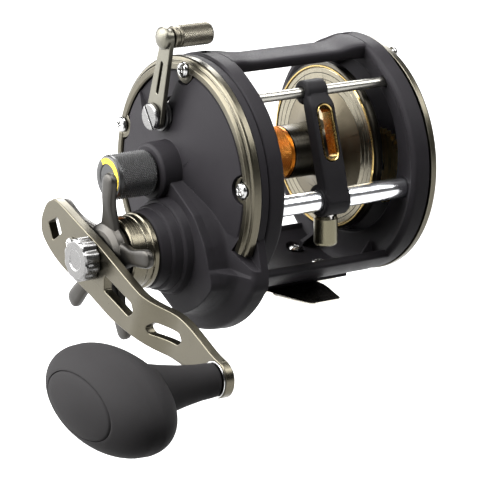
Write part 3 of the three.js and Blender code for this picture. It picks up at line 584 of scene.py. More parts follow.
def make_frame():
    near = loft("near_ring", [
        *[rim(x, inset, NEAR_HUMP) for x, inset in (
            (7.3, 0.9), (7.45, 0.35), (7.9, 0.05), (8.3, 0), (12.3, 0), (13.0, 0.2), (13.5, 0.7),
            (13.7, 1.3))],
        hole(13.7, OPENING_R + 0.9), hole(13.45, OPENING_R + 0.3), hole(12.9, OPENING_R),
        hole(7.3, OPENING_R),
    ], loop=True)
    x0, x1 = FAR_RING
    far = loft("far_ring", [
        *[rim(x, inset, FAR_HUMP) for x, inset in (
            (x0, 2.0), (x0 + 0.15, 1.0), (x0 + 0.6, 0.3), (x0 + 1.4, 0), (x1 - 0.5, 0), (x1, 0.5))],
        hole(x1, 33.9, (0, 0)), hole(68, 33.7, (0, 0)), hole(68, OPENING_R), hole(66.5, OPENING_R),
        hole(66.05, OPENING_R + 0.4), hole(65.9, OPENING_R + 1.0), hole(65.8, 33.0, (0.6, 0.9)),
        hole(65.5, 34.6, (0.2, 0.3)), hole(64.9, 35.5, (0, 0)),
    ], loop=True)
    bar = make_bar()
    trough = make_trough()
    body = fuse(near, far, bar, trough)
    screws = [upright(x, y, seat, -30, 3.1) for x, y, seat in foot_places()]
    shanks = [upright(x, y, -45, -33, 1.5) for x, y, _ in foot_places()]
    notches = [
        prism("tool", FAR_RING[0] - 0.2, FAR_RING[0] + 3.4,
              [(-0.6, 39.0), (5.0, 38.8), (4.6, 43), (-0.8, 43)]),
        prism("tool", NEAR_RING[0] + 1.2, NEAR_RING[1] - 1.6,
              [(-1.4, 38.8), (3.4, 38.6), (3.2, 43), (-1.4, 43)]),
    ]
    carve(
        body, *screws, *shanks, *notches,
        disc(8, 20, ROD_HOLE_R, ROD), disc(60, 67.2, ROD_HOLE_R, ROD), disc(6, 20, TUBE_HOLE_R, WORM),
        disc(60, 66.0, TUBE_HOLE_R, WORM),
        disc(60, 75, 2.3, WORM), disc(68, 75, 5.4, WORM),
        *[disc(6, 12.5, RING_SHANK_R, place, 24) for place in LUGS],
        *[disc(66.6, 72, LEFT_SHANK_R, place, 24) for place in LEFT_SCREWS],
    )
    soften(body, 0.22, 2)
    install(body, "reel_frame", "body", "graphite", graphite, "frame")


def foot_places():
    """Where the foot's screws stand, and the seat of each head."""
    places = []
    for i in (1, 2, 3, 4):
        low, high = extent(f"foot_screw_{i}")
        places.append(((low.x + high.x) / 2, (low.y + high.y) / 2, high.z - 1.7))
    return places


def make_bar():
    """The top bar, which rises into a hump at each end."""
    rings = []
    for i in range(41):
        x = 12.7 + (65.2 - 12.7) * i / 40
        rise = FAR_HUMP * smoothstep(54, 64.5, x) + NEAR_HUMP * (1 - smoothstep(13.5, 24, x))
        outer = PLATE_R + rise - 0.4 * smoothstep(13.5, 20, x) * (1 - smoothstep(54, 64, x)) - 0.05
        wide = 1.2 * (smoothstep(58, 64.5, x) + 1 - smoothstep(13.5, 18, x))
        low, high = -2.2 - wide, 16.7 + wide
        section = [polar(34.7, low + 1), *arc(34.7, low + 3, high - 3, steps=6), polar(34.7, high - 1),
                   polar(35.3, high), polar(outer - 1.2, high), polar(outer - 0.35, high - 0.7),
                   polar(outer, high - 2)]
        section += [*arc(outer, high - 4, low + 4, steps=6), polar(outer, low + 2),
                    polar(outer - 0.35, low + 0.7), polar(outer - 1.2, low), polar(35.3, low)]
        rings.append(at_x(x, section))
    return loft("bar", rings)


def make_trough():
    """The curved base, with a bead along each edge, the foot's pad and a rib at each end."""
    section = [*arc(38.9, 141, 219, steps=40), polar(38.75, 219.7), polar(38.1, 220.2), polar(37.0, 220.2),
               polar(36.2, 219.8), polar(36.0, 219.0), polar(36.3, 217.6), polar(36.7, 216.8),
               *arc(36.7, 216, 144, steps=36), polar(36.7, 143.2), polar(36.3, 142.4), polar(36.0, 141),
               polar(36.2, 140.2), polar(37.0, 139.8), polar(38.1, 139.8), polar(38.75, 140.3)]
    trough = prism("trough", 13.2, 65.2, section)
    pad_outline = rounded([(-7.5, -34.5), (19.5, -34.5), (19.5, -39.7, 0.8), (-7.5, -39.7, 0.8)], closed=True)
    pad = carve(prism("pad", 18, 61, pad_outline), disc(10, 70, 36.8, (0, 0), 96))
    ribs = []
    for x, way in ((65.2, -1), (13.2, 1)):
        for degrees in (153, 205):
            inner, foot_end = (
                [polar(r, degrees + d) for r, d in ((36.9, -1.3), (reach, -1.3), (reach, 1.3), (36.9, 1.3))]
                for reach in (30.2, 36.4)
            )
            ribs.append(loft("rib", [at_x(x, inner), at_x(x + way * 7.5, foot_end)]))
    return fuse(trough, pad, *ribs)


# ---------- the handle-side casing ----------
LOBE = (-3.0, -8.0)
LOBE_R = 41.0
BOSS_R = 9.2


def case_outlines():
    """The gear case's outlines, from its foot on the frame up to its crisp upper edge."""
    def belly(r):
        return [*arc(r, 119, 179, LOBE, 10), (5.0, LOBE[1] - r + 1.4)]

    behind = [polar(21.8, d, CRANK) for d in range(215, 331, 12)]
    foot = spline([*belly(LOBE_R), (14, -34), (24, -22), (22, 0), (12, 12), (-14, 6), (-32, -5), (-35.9, -13),
                   (-37.9, -20)])
    shoulder = spline([*belly(LOBE_R - 0.4), (12, -33), (20, -22), (18, 0), (10, 10), (-13, 3), (-30, -7.5),
                       (-35.2, -14.5), (-37.4, -20.8)])
    crest = spline([*belly(LOBE_R - 6), *behind, (15.7, 9.8), (7.1, 8.3), (-1.5, 4.8), (-12.2, -1.2),
                    (-21.5, -7.6), (-25.8, -13.2), (-28.2, -19.6), (-29.8, -25)])
    lower = (-13.0, -25.0)
    sweep = (29.9, -48.1)
    edge = [*arc(17, 98, 186, lower, 20), *[polar(16.4, d, CRANK) for d in range(205, 321, 8)],
            *arc(BOSS_R, -75, 20, SPOOL, 10),
            *arc(64.2, bearing(sweep, (-0.5, 8.6)), bearing(sweep, (-26.4, -16.4)), sweep, 20)]
    return foot, shoulder, crest, edge


def make_case_swelling():
    foot, shoulder, crest, edge = case_outlines()
    steps = 240
    columns = []
    for i in range(steps):
        degrees = 360 * i / steps
        foot_r, shoulder_r, crest_r, edge_r = (
            reach_of(CRANK, degrees, outline) for outline in (foot, shoulder, crest, edge))
        shoulder_r = min(shoulder_r, foot_r - 0.3)
        crest_r = min(crest_r, shoulder_r - 0.6)
        edge_r = min(edge_r, crest_r - 1.0)
        slope = crest_r - edge_r
        columns.append(rounded([
            (7.0, 5.0), (7.0, foot_r), (1.7, shoulder_r, 2.4), (-1.0, crest_r, 5),
            (-3.4, crest_r - 0.45 * slope, 6), (-5.7, edge_r + 0.17 * slope, 2), (-8.5, edge_r, 0.6),
            (-8.5, 15.6, 0.4), (-11.0, 15.0), (-11.5, 14.4, 0.5), (-11.5, 13.9, 0.2), (-14.5, 13.5),
            (-15.0, 12.9, 0.5), (-15.0, 12.6, 0.2), (-18.4, 12.3), (-19.0, 11.8, 0.5), (-19.0, 10.6, 0.2),
            (-10, 10.6), (-10, 5.0),
        ], steps=3))
    rings = []
    for row in range(len(columns[0])):
        rings.append([
            (columns[i][row][0], *polar(columns[i][row][1], 360 * i / steps, CRANK)) for i in range(steps)
        ])
    return loft("swelling", rings, loop=True)


def make_handle_side_plate():
    plate = lathe("case", rounded([
        (7.0, 0), (-4.4, 0), (-4.3, 4), (-3.95, 9), (-3.1, 14), (-2.25, 18.5), (-1.5, 23.5), (-0.6, 29.5),
        (0.4, 33.6, 0.5), (1.2, RING_IN - GAP, 0.3),
        (4.3, RING_IN - GAP), (4.3, PLATE_R, 0.2), (7.0, PLATE_R, 0.2), (7.0, 0),
    ]), steps=180)
    lower_rim = prism("rim", 0.2, 7.0,
                      [*arc(PLATE_R, 121.5, 233.5, steps=40), *arc(32, 233.5, 121.5, steps=40)])
    swelling = make_case_swelling()
    beyond_rim = carve(block((-30, 5, -60), (7.2, 60, 0)), disc(-31, 9, PLATE_R, (0, 0), 180))
    carve(swelling, beyond_rim)
    boss = lathe("boss", rounded([
        (3, 0), (3, BOSS_R + 0.6), (-8.2, BOSS_R + 0.2), (-10.4, BOSS_R, 0.7), (-11, 8.2, 0.3), (-11, 5.1),
        (-17, 5.1), (-17, 0),
    ]), SPOOL, 96)
    fuse(plate, lower_rim, swelling, boss)
    ring_space = prism("tool", -12, 4.3, [
        *arc(60, 121.5, -126.5, steps=90), *arc(RING_IN - GAP, -126.5, 121.5, steps=90),
    ])
    pockets = [disc(-6, 4.3, 4.9, place, 48) for place in LUGS]
    lever_pocket = loft("tool", [
        at_x(-9, [(20.5, 17.4), (27.2, 26.0), (19.0, 31.8), (6.5, 36.0), (-2.5, 36.4), (4.5, 22.5),
                  (12, 15.4)]),
        at_x(-1.0, [(19.7, 18.0), (26.2, 26.0), (18.6, 30.8), (6.5, 34.6), (-1.4, 35.2), (5.2, 22.9),
                    (12, 16.2)]),
        at_x(1.3, [(19.0, 18.6), (25.2, 26.0), (18.2, 30.2), (6.5, 34.0), (-0.8, 34.6), (5.6, 23.4),
                   (12, 16.8)]),
    ])
    carve(
        plate, ring_space, *pockets, lever_pocket,
        disc(2.9, 9, 31.4, (0, 0), 96), disc(-0.9, 9, 20.2, CRANK, 96), disc(-3.5, 9, 13.7, CRANK, 64),
        disc(-6.3, 9, 7.3, SPOOL), disc(-8.3, 9, 5.2, SPOOL), disc(-18, 9, 3.9, SPOOL),
        disc(-7.5, 9, 8.3, CRANK), disc(-6, 9, 2.4, LEVER, 32), disc(1.0, 9, 5.6, LEVER, 32),
        *[disc(2, 12, RING_SHANK_R, place, 24) for place in LUGS],
    )
    soften(plate, 0.16, 2, 34)
    install(plate, "gear_case", "body", "graphite", graphite, "handle_side_plate", smooth=30)


def band_profile(x0, x1):
    """A side ring's section: a bright bead on its face, a groove, and the flank."""
    way = 1 if x1 > x0 else -1
    return [(x1, RING_IN), (x0 + way * 0.5, RING_IN, 0.3), (x0, RING_IN + 0.4, 0.3), (x0, 36.7, 0.5),
            (x0 + way * 0.8, 37.6, 0.4), (x0 + way * 1.15, 37.6), (x0 + way * 1.2, 38.3),
            (x0 + way * 1.5, 38.75, 0.3), (x0 + way * 2.0, RING_R, 0.3), (x1, RING_R, 0.15)]


def make_handle_side_ring():
    profile = rounded(band_profile(0.0, 4.0), steps=4, closed=True)
    degrees = [120 - 245 * i / 120 for i in range(121)]
    stations = [[(x, *polar(r, d)) for x, r in profile] for d in degrees]
    ring = loft("ring", stations)
    lugs = [merge(disc(0.35, 3.2, 4.3, place, 64), [disc(-1, 5, 36.9, (0, 0), 180)], "INTERSECT")
            for place in LUGS]
    fuse(ring, *lugs)
    carve(ring, *[disc(-1, 0.6, 2.9, place, 48) for place in LUGS],
          *[disc(-1, 5, RING_SHANK_R, place, 24) for place in LUGS])
    soften(ring, 0.12, 2, 40)
    install(ring, "horseshoe_ring", "body", "bronze", ring_bronze, "handle_side_ring")
    for i, (place, turn) in enumerate(zip(LUGS, (12, 40, 25))):
        install(pan_screw(-1.25, 12.9, place, 2.55, 1.2, turn), f"ring_pan_screw_{i + 1}", "body", "steel",
                screw_steel, f"ring_screw_{i + 1}")


# ---------- the left side ----------
def make_left_side():
    top = extent("left_side_plate")[1].x
    plate = lathe("plate", rounded([
        (74.4, 0), (74.4, 31), (70.9, 31), (70.9, RING_IN - GAP), (74.6, RING_IN - GAP, 0.3),
        (75.6, 33.2, 0.6), (76.3, 31.2, 0.5), (76.1, 30.6, 0.2), (76.15, 29.8, 0.2), (76.6, 29.2, 0.4),
        (top - 0.45, 18), (top - 0.35, 13.2, 0.2), (top - 0.6, 12.9, 0.2), (top - 0.6, 12.2, 0.2),
        (top - 0.2, 11.8, 0.3), (top, 3), (top, 0),
    ]), steps=180)
    bearing_boss = lathe("boss", [(71.4, 5.5), (71.4, 7.2), (75, 7.2), (75, 5.5)], SPOOL, 48)
    slot = block((70, CLICK[0] - 1.6, CLICK[1] - 6), (80, CLICK[0] + 1.6, CLICK[1] + 2))
    fuse(plate, bearing_boss)
    carve(plate, slot)
    soften(plate, 0.15, 2, 34)
    install(plate, "left_cover", "body", "graphite", graphite, "left_side_plate")
    band = lathe("band", rounded(band_profile(74.6, 70.9), closed=True), steps=180)
    carve(band, *[disc(70, 76, LEFT_SHANK_R, place, 24) for place in LEFT_SCREWS],
          *[disc(74.2, 76, 2.1, place, 32) for place in LEFT_SCREWS])
    soften(band, 0.1, 2, 40)
    install(band, "left_band", "body", "bronze", ring_bronze, "left_ring")
    for i, place in enumerate(LEFT_SCREWS):
        x = extent(f"left_ring_screw_{i + 1}")[1].x
        install(pan_screw(x, 8.5, place, 1.9, 1.0, 20 + 30 * i, facing=-1), f"left_pan_screw_{i + 1}", "body",
                "steel", screw_steel, f"left_ring_screw_{i + 1}")
    make_click_button()


def make_click_button():
    low, high = extent("click_button")
    middle = (low.z + high.z) / 2
    outline = [*arc(2.3, 90, -90, (CLICK[0], middle + 1), 16), *arc(2.3, 270, 90, (CLICK[0], middle - 1), 16)]
    button = prism("button", 77.95, high.x, outline)
    ridges = [block((high.x - 0.45, CLICK[0] - 3, middle + z - 0.25),
                    (high.x + 1, CLICK[0] + 3, middle + z + 0.25))
              for z in (-1.8, -0.9, 0.0, 0.9, 1.8)]
    stem = block((71.2, CLICK[0] - 1.2, middle - 1.5), (78.2, CLICK[0] + 1.2, middle + 1.5))
    carve(button, *ridges)
    fuse(button, stem)
    soften(button, 0.1, 2)
    install(button, "click_slider", "click", "graphite", dark_graphite, "click_button")


# ---------- the foot ----------
def make_foot():
    low, high = extent("reel_foot")
    middle_x = (low.x + high.x) / 2
    middle_y = (low.y + high.y) / 2
    under = low.z + 0.8
    half = [(-19.4, 10.9, 1.0), (-10.6, 10.9, 0.5), (-10.2, 16, 3), (-6.2, 30.4, 1.2), (-4.8, 31.4, 1.0)]
    front = half + [(-x, y, r) for x, y, r in reversed(half)]
    plan = rounded(front + [(x, -y, r) for x, y, r in reversed(front)], closed=True)
    outline = [(middle_x + x, middle_y + y) for x, y in plan]
    foot = loft("foot", [[(x, y, z) for x, y in outline] for z in (under, under + 1)])
    cut_across(foot, [middle_y + side * (17 + step * 1.9) for side in (-1, 1) for step in range(8)])
    carve(foot, *[upright(x, y, -45, -35, 1.5) for x, y, _ in foot_places()])
    soften(foot, 0.12, 2)
    move_points(foot, lambda p: Vector((p.x, p.y, p.z - 0.8 * smoothstep(17, 31.6, abs(p.y - middle_y)))))
    install(foot, "foot_plate", "body", "foot_metal", [foot_metal, foot_edge], "reel_foot")
    for polygon in foot.data.polygons:
        polygon.material_index = 1 if abs(polygon.normal.z) < 0.75 else 0
    for i, (x, y, seat) in enumerate(foot_places()):
        top = seat + 1.7
        screw = pan_screw(0, top - (under + 0.1), (0.0, 0.0), 2.5, 1.2, 20 + 25 * i)
        move_points(screw, lambda p: Vector((x + p.y, y + p.z, top - p.x)))
        install(screw, f"foot_pan_screw_{i + 1}", "body", "steel", screw_steel, f"foot_screw_{i + 1}")


# ---------- the drag and the handle ----------
def make_collar():
    collar = lathe("collar", rounded([
        (-19.3, 4.7), (-19.3, 12.1, 0.3), (-20.9, 12.1, 0.3), (-21.2, 11.5), (-23.0, 11.5, 0.1),
        (-23.1, 11.3), (-23.3, 11.3), (-23.4, 11.5), (-27.9, 11.4, 0.3), (-28.3, 10.9), (-28.3, 9.4),
        (-27.4, 9.2), (-27.4, 4.7),
    ]), CRANK, 96)
    notch = prism("tool", -29, -25.2,
                  [polar(r, d, CRANK) for r, d in ((8.8, 8), (13, 8), (13, -10), (8.8, -10))])
    carve(collar, notch)
    soften(collar, 0.1, 2, 40)
    install(collar, "collar_ring", "star", "bronze", collar_bronze, "drag_collar")
    key = prism("key", -28.25, -25.4, [*arc(11.3, 7, -9, CRANK, 6), *arc(9.0, -9, 7, CRANK, 6)])
    soften(key, 0.15, 2)
    install(key, "collar_key", "star", "orange", orange)


STAR_ARMS = 5
STAR_PHASE = 9.0


def squarer(value):
    """Bends a circle's sine or cosine towards a rounded square's."""
    return math.copysign(abs(value) ** 0.62, value)


def make_star():
    star = lathe("star", rounded([
        (-28.6, 4.7), (-28.6, 9.8, 0.4), (-30.4, 10.6, 0.8), (-32.2, 10.0, 0.8), (-33.6, 8.2, 0.6),
        (-33.9, 6.8, 0.3), (-33.9, 4.7),
    ]), CRANK, 80)
    arms = []
    tip = 27.3
    for k in range(STAR_ARMS):
        degrees = STAR_PHASE + k * 360 / STAR_ARMS
        out = Vector(polar(1, degrees))
        side = Vector(polar(1, degrees + 90))
        rings = []
        for i in range(29):
            t = i / 28
            along = 6 + (tip - 6) * (1 - (1 - t) ** 1.35)
            wide = 4.4 - 1.8 * smoothstep(7, 17, along) + 0.35 * smoothstep(17, 24, along)
            close = math.sqrt(max(1 - max((along - (tip - 2.9)) / 2.9, 0.0) ** 2, 0.0))
            thick = 1.65 - 0.1 * smoothstep(10, 26, along)
            x = -30.7 - 1.45 * smoothstep(9, 21, along)
            centre = Vector(CRANK) + out * along
            ring = []
            for j in range(24):
                angle = 2 * math.pi * j / 24
                a = squarer(math.cos(angle)) * wide * max(close, 0.02)
                b = squarer(math.sin(angle)) * thick * max(close ** 0.6, 0.02)
                place = centre + side * a
                ring.append((x + b, place.x, place.y))
            rings.append(ring)
        arms.append(loft("arm", rings))
    fuse(star, *arms)
    install(star, "drag_star", "star", "gunmetal", gunmetal, "star_drag", smooth=50)


BLADE = [(-23, 6.4), (-9, 6.5), (5, 6.4), (23, 5.4), (34, 5.6), (48, 7.2), (62, 6.2), (69, 6.1), (72.9, 2.8),
         (72.9, -2), (69, -5.2), (61, -5.2), (50, -6.4), (39, -9), (29, -9.8), (17, -11.4), (4, -11.4),
         (-12, -12), (-21, -11), (-27, -8.6), (-29.2, -4.4), (-28.6, 1.4), (-26.4, 4.6)]
BLADE_WINDOWS = [
    [(-25.2, -3, 0.6), (-21, 1.6, 0.6), (-17.2, -2, 0.6), (-20.8, -7, 0.6)],
    [(9.0, -0.4, 0.9), (25, -0.2, 1.4), (27.2, -2.4, 1.4), (25, -5, 1.4), (10.6, -5.2, 0.9)],
    [(33, -3.6, 1.2), (36, -0.2, 1.5), (46, 2.2, 1.6), (48.2, 0.6, 1.4), (46.4, -1.8, 1.6), (35, -5, 1.5)],
]
BLADE_BACK = -34.4
BLADE_THICK = 3.1
BLADE_STEP = 4.0
BLADE_RAMP = (27.5, 45.0)
KNOB_HOLE = (67.5, 0.45)
LOCK_HOLE = (-10.3, -1.2)


def from_arm(point):
    """From the arm's own axes (x, along, across) to the reel's."""
    angle = math.radians(ARM_DEGREES)
    y, z = polar(point.y, ARM_DEGREES, CRANK)
    return Vector((point.x, y + point.z * math.cos(angle), z + point.z * math.sin(angle)))


def make_handle_arm():
    front = BLADE_BACK - BLADE_THICK
    arm = prism("arm", front, BLADE_BACK, spline(BLADE))
    windows = [prism("tool", -50, -20, rounded(points, closed=True)) for points in BLADE_WINDOWS]
    carve(arm, *windows, disc(-50, -20, SLEEVE_HOLE_R), disc(-50, -20, 2.5, KNOB_HOLE, 32),
          disc(-50, -20, 1.3, LOCK_HOLE, 24))
    low, high = BLADE_RAMP
    cut_across(arm, [low - 1 + (high - low + 2) * step / 16 for step in range(17)])
    soften(arm, 0.34, 3, 40)
    move_points(arm, lambda p: Vector((p.x + BLADE_STEP * smoothstep(low, high, p.y), p.y, p.z)))
    move_points(arm, from_arm)
    install(arm, "handle_blade", "crank", "bronze", arm_bronze, "handle_arm")


def make_handle_nut():
    front = extent("handle_nut")[0].x
    back = extent("handle_nut")[1].x
    flutes = 10

    def ring(x, r, depth):
        points = []
        for i in range(flutes * 12):
            turn = 360 * i / (flutes * 12)
            wave = abs((i % 12) - 6) / 6
            points.append(polar(r - depth * (1 - smoothstep(0.0, 0.75, wave)), turn, CRANK))
        return at_x(x, points)

    nut = loft("nut", [
        ring(back, 6.6, 0.6), ring(back - 0.4, 6.95, 0.8), ring(front + 1.0, 6.95, 0.8),
        ring(front + 0.35, 6.6, 0.6), ring(front + 0.05, 6.0, 0.2), ring(front, 5.6, 0), ring(front, 3.4, 0),
        ring(front + 0.25, 3.1, 0), ring(front + 0.25, 0.6, 0), [(front + 0.25, *CRANK)],
    ])
    carve(nut, disc(-41.6, -30, SLEEVE_HOLE_R, CRANK))
    install(nut, "fluted_nut", "crank", "steel", nut_steel, "handle_nut", smooth=32)
    place = axis_of("handle_lock_screw")
    face = extent("handle_lock_screw")[0].x
    install(pan_screw(face, 4, place, 1.85, 1.0, 30), "lock_pan_screw", "crank", "steel", screw_steel,
            "handle_lock_screw")


# ---------- the knob ----------
HEAD_X = -69.9
HEAD_HALF = (13.7, 14.8, 27.65)
HEAD_LEAN = 96.8
HEAD_POWER = 2.25
GROOVE_AT = 0.61
GROOVE_DEEP = 0.55
NECK = [(-34.2, 4.6), (-34.5, 5.1), (-36, 5.3), (-40, 5.5), (-46, 6.3), (-52, 7.4), (-58, 8.8), (-64, 9.2)]
NECK_FILLET = 4.0


def make_knob():
    long_way = Vector(polar(1, HEAD_LEAN))
    short_way = Vector(polar(1, HEAD_LEAN - 90))
    steps = 144
    rings = []

    def ring(x, long_half, short_half):
        points = []
        for i in range(steps):
            angle = 2 * math.pi * i / steps
            place = Vector(KNOB) + long_way * long_half * math.cos(angle)
            place += short_way * short_half * math.sin(angle)
            points.append((x, place.x, place.y))
        rings.append(points)

    def neck_radius(x):
        for (x0, r0), (x1, r1) in zip(NECK, NECK[1:]):
            if x1 <= x <= x0 + 0.01:
                return r0 + (r1 - r0) * (x0 - x) / (x0 - x1)
        return NECK[-1][1]

    def blended(a, b, soft):
        """The larger of two radii, with a soft fillet where they meet."""
        share = max(soft - abs(a - b), 0.0) / soft
        return max(a, b) + share * share * soft / 4

    # The outer half, from the pole in: an oval groove frames the end face.
    outer = [0.02, 0.2, 0.4, 0.5, 0.56, 0.585, 0.598, 0.61, 0.622, 0.635, 0.66, 0.7, 0.75, 0.8, 0.84, 0.88,
             0.91, 0.94, 0.96, 0.98, 0.99]
    for share in outer:
        x = HEAD_X - HEAD_HALF[0] * (1 - share ** HEAD_POWER) ** (1 / HEAD_POWER)
        deep = GROOVE_DEEP * max(1 - abs(share - GROOVE_AT) / 0.014, 0.0)
        ring(x + deep, HEAD_HALF[2] * share, HEAD_HALF[1] * share)
    for i in range(64):
        x = HEAD_X + 0.4 + (NECK[0][0] - HEAD_X - 0.4) * i / 63
        inside = max(1 - ((x - HEAD_X) / HEAD_HALF[0]) ** 2, 0.0) ** 0.5
        neck = neck_radius(x)
        ring(x, blended(HEAD_HALF[2] * inside, neck, NECK_FILLET),
             blended(HEAD_HALF[1] * inside, neck, NECK_FILLET))
    knob = loft("knob", [[(rings[0][0][0], *KNOB)], *rings])
    carve(knob, disc(-61.5, -30, 2.6, KNOB, 32))
    install(knob, "grip", "knob", "rubber", rubber, "handle_knob", smooth=60)


def make_knob_spindle():
    low, high = extent("knob_spindle")
    back = high.x
    rivet = lathe("rivet", rounded([
        (low.x, 0), (low.x, 2.2), (-29.9, 2.2), (-29.9, 4.15, 0.3), (-29.2, 4.1, 0.5),
        (back + 0.1, 2.6, 0.5), (back, 1.6), (back + 0.35, 1.2, 0.2), (back + 0.35, 0),
    ]), KNOB, 48)
    install(rivet, "knob_rivet", "crank", "steel", screw_steel, "knob_spindle")
    washer = lathe("washer", rounded([
        (-33.7, 2.4), (-33.7, 5.6, 0.2), (-34.05, 5.6, 0.2), (-34.05, 2.4),
    ], closed=True), KNOB, 48)
    install(washer, "knob_washer", "crank", "steel", screw_steel)
    boss = lathe("boss", rounded([
        (-33.4, 2.6), (-33.4, 5.9, 0.4), (-30.6, 6.0, 0.6), (-30.2, 5.4, 0.3), (-30.2, 2.6),
    ], closed=True), KNOB, 64)
    install(boss, "knob_boss", "crank", "bronze", collar_bronze)


# ---------- knurled pieces ----------
def knurled(before, x0, x1, r, depth, around, along, after, centre):
    """A turned solid whose middle stretch is covered in raised diamonds."""
    count = around * 2

    def plain(stations):
        return [[(x, *centre)] if radius == 0 else at_x(x, circle(radius, centre, count))
                for x, radius in stations]

    rings = plain(before)
    first = len(rings)
    rows = along * 2
    for i in range(rows + 1):
        x = x0 + (x1 - x0) * i / rows
        points = []
        for j in range(count):
            raised = (first + i + j) % 2 == 0
            points.append(polar(r if raised else r - depth, 360 * j / count, centre))
        rings.append(at_x(x, points))
    rings += plain(after)
    return loft("knurled", rings, loop=before[0][1] != 0, knurl=(first, first + rows))


def make_tension_pieces():
    low, high = extent("tension_knob")
    face = low.x
    knob = knurled(
        [(face + 0.3, 0), (face + 0.3, 4.3), (face + 0.05, 4.6), (face, 4.9), (face, 6.2), (face + 0.25, 6.8),
         (face + 0.7, 7.1), (face + 1.5, 7.1)],
        face + 1.7, high.x - 0.9, 7.4, 0.42, 44, 17,
        [(high.x - 0.7, 7.0), (high.x - 0.15, 6.8), (high.x, 6.4), (high.x, 5.4), (-22, 5.4), (-22, 0)],
        SPOOL,
    )
    install(knob, "knurled_cap", "tension", "knurled_black", knurl_black, "tension_knob", smooth=25)
    arc_outline = [*arc(6.3, -35, 128, SPOOL, 30), *arc(4.5, 128, -35, SPOOL, 30)]
    mark = prism("mark", face - 0.04, face + 0.3, arc_outline)
    soften(mark, 0.03, 1)
    install(mark, "tension_index", "tension", "knurled_black", yellow)


def make_lever():
    """The clutch lever with its grip, cap, pivot screw and washers."""
    way = bearing(LEVER, LEVER_TOP)
    blade_outline = [*arc(4.3, way + 100, way + 260, LEVER, 28), *arc(2.7, way - 86, way + 86, LEVER_TOP, 20)]
    blade = prism("blade", -6.3, -4.6, blade_outline)
    slot = [*arc(0.7, way + 90, way + 270, polar(8.6, way, LEVER), 8),
            *arc(0.7, way - 90, way + 90, polar(18.4, way, LEVER), 8)]
    carve(blade, prism("tool", -8, 0, slot), disc(-8, 0, 2.3, LEVER, 32), disc(-8, 0, 1.7, LEVER_TOP, 24))
    soften(blade, 0.22, 3, 40)
    install(blade, "lever_blade", "lever", "bronze", lever_bronze, "clutch_lever")

    high = extent("lever_grip")[1]
    barrel = knurled(
        [(-6.5, 0), (-6.5, 1.5), (-4.3, 1.5), (-4.3, 3.2), (-3.95, 3.5), (-3.2, 3.5), (-2.95, 3.1),
         (-2.6, 3.1), (-2.4, 3.5), (-1.7, 3.5)],
        -1.5, high.x - 0.9, 3.6, 0.26, 26, 12,
        [(high.x - 0.75, 3.4), (high.x - 0.3, 3.3), (high.x, 2.9), (high.x, 0)],
        LEVER_TOP,
    )
    install(barrel, "lever_barrel", "lever", "bronze", knurl_bronze, "lever_grip", smooth=25)
    face = extent("lever_cap")[0].x
    cap = lathe("cap", rounded([
        (face, 0), (face + 0.1, 1.4), (face + 0.55, 2.9, 0.8), (face + 1.2, 3.6, 0.4), (-6.6, 3.6, 0.1),
        (-6.6, 0),
    ]), LEVER_TOP, 64)
    install(cap, "lever_button", "lever", "steel", lever_bronze, "lever_cap")

    face = extent("lever_screw")[0].x
    screw = lathe("screw", rounded([
        (face, 0), (face, 3.9, 0.3), (face + 0.5, 4.35, 0.2), (-6.65, 4.35, 0.1), (-6.65, 2), (3.4, 2),
        (3.4, 0),
    ]), LEVER, 64)
    slant = Vector(polar(1, -34))
    side = Vector(polar(1, 56))
    corners = ((-6, -0.42), (6, -0.42), (6, 0.42), (-6, 0.42))
    outline = [Vector(LEVER) + slant * a + side * b for a, b in corners]
    carve(screw, prism("tool", face - 1, face + 0.75, [tuple(p) for p in outline]))
    soften(screw, 0.08, 2)
    install(screw, "lever_pivot_screw", "lever", "steel", nut_steel, "lever_screw")
    stack = lathe("stack", rounded([
        (-2.2, 2.4), (-2.2, 5.0, 0.2), (-3.0, 5.0, 0.2), (-3.05, 4.7), (-3.2, 4.7), (-3.25, 5.0, 0.2),
        (-4.2, 5.0, 0.2), (-4.2, 2.4),
    ], closed=True), LEVER, 64)
    install(stack, "lever_washers", "body", "graphite", washer_black, "lever_washer")


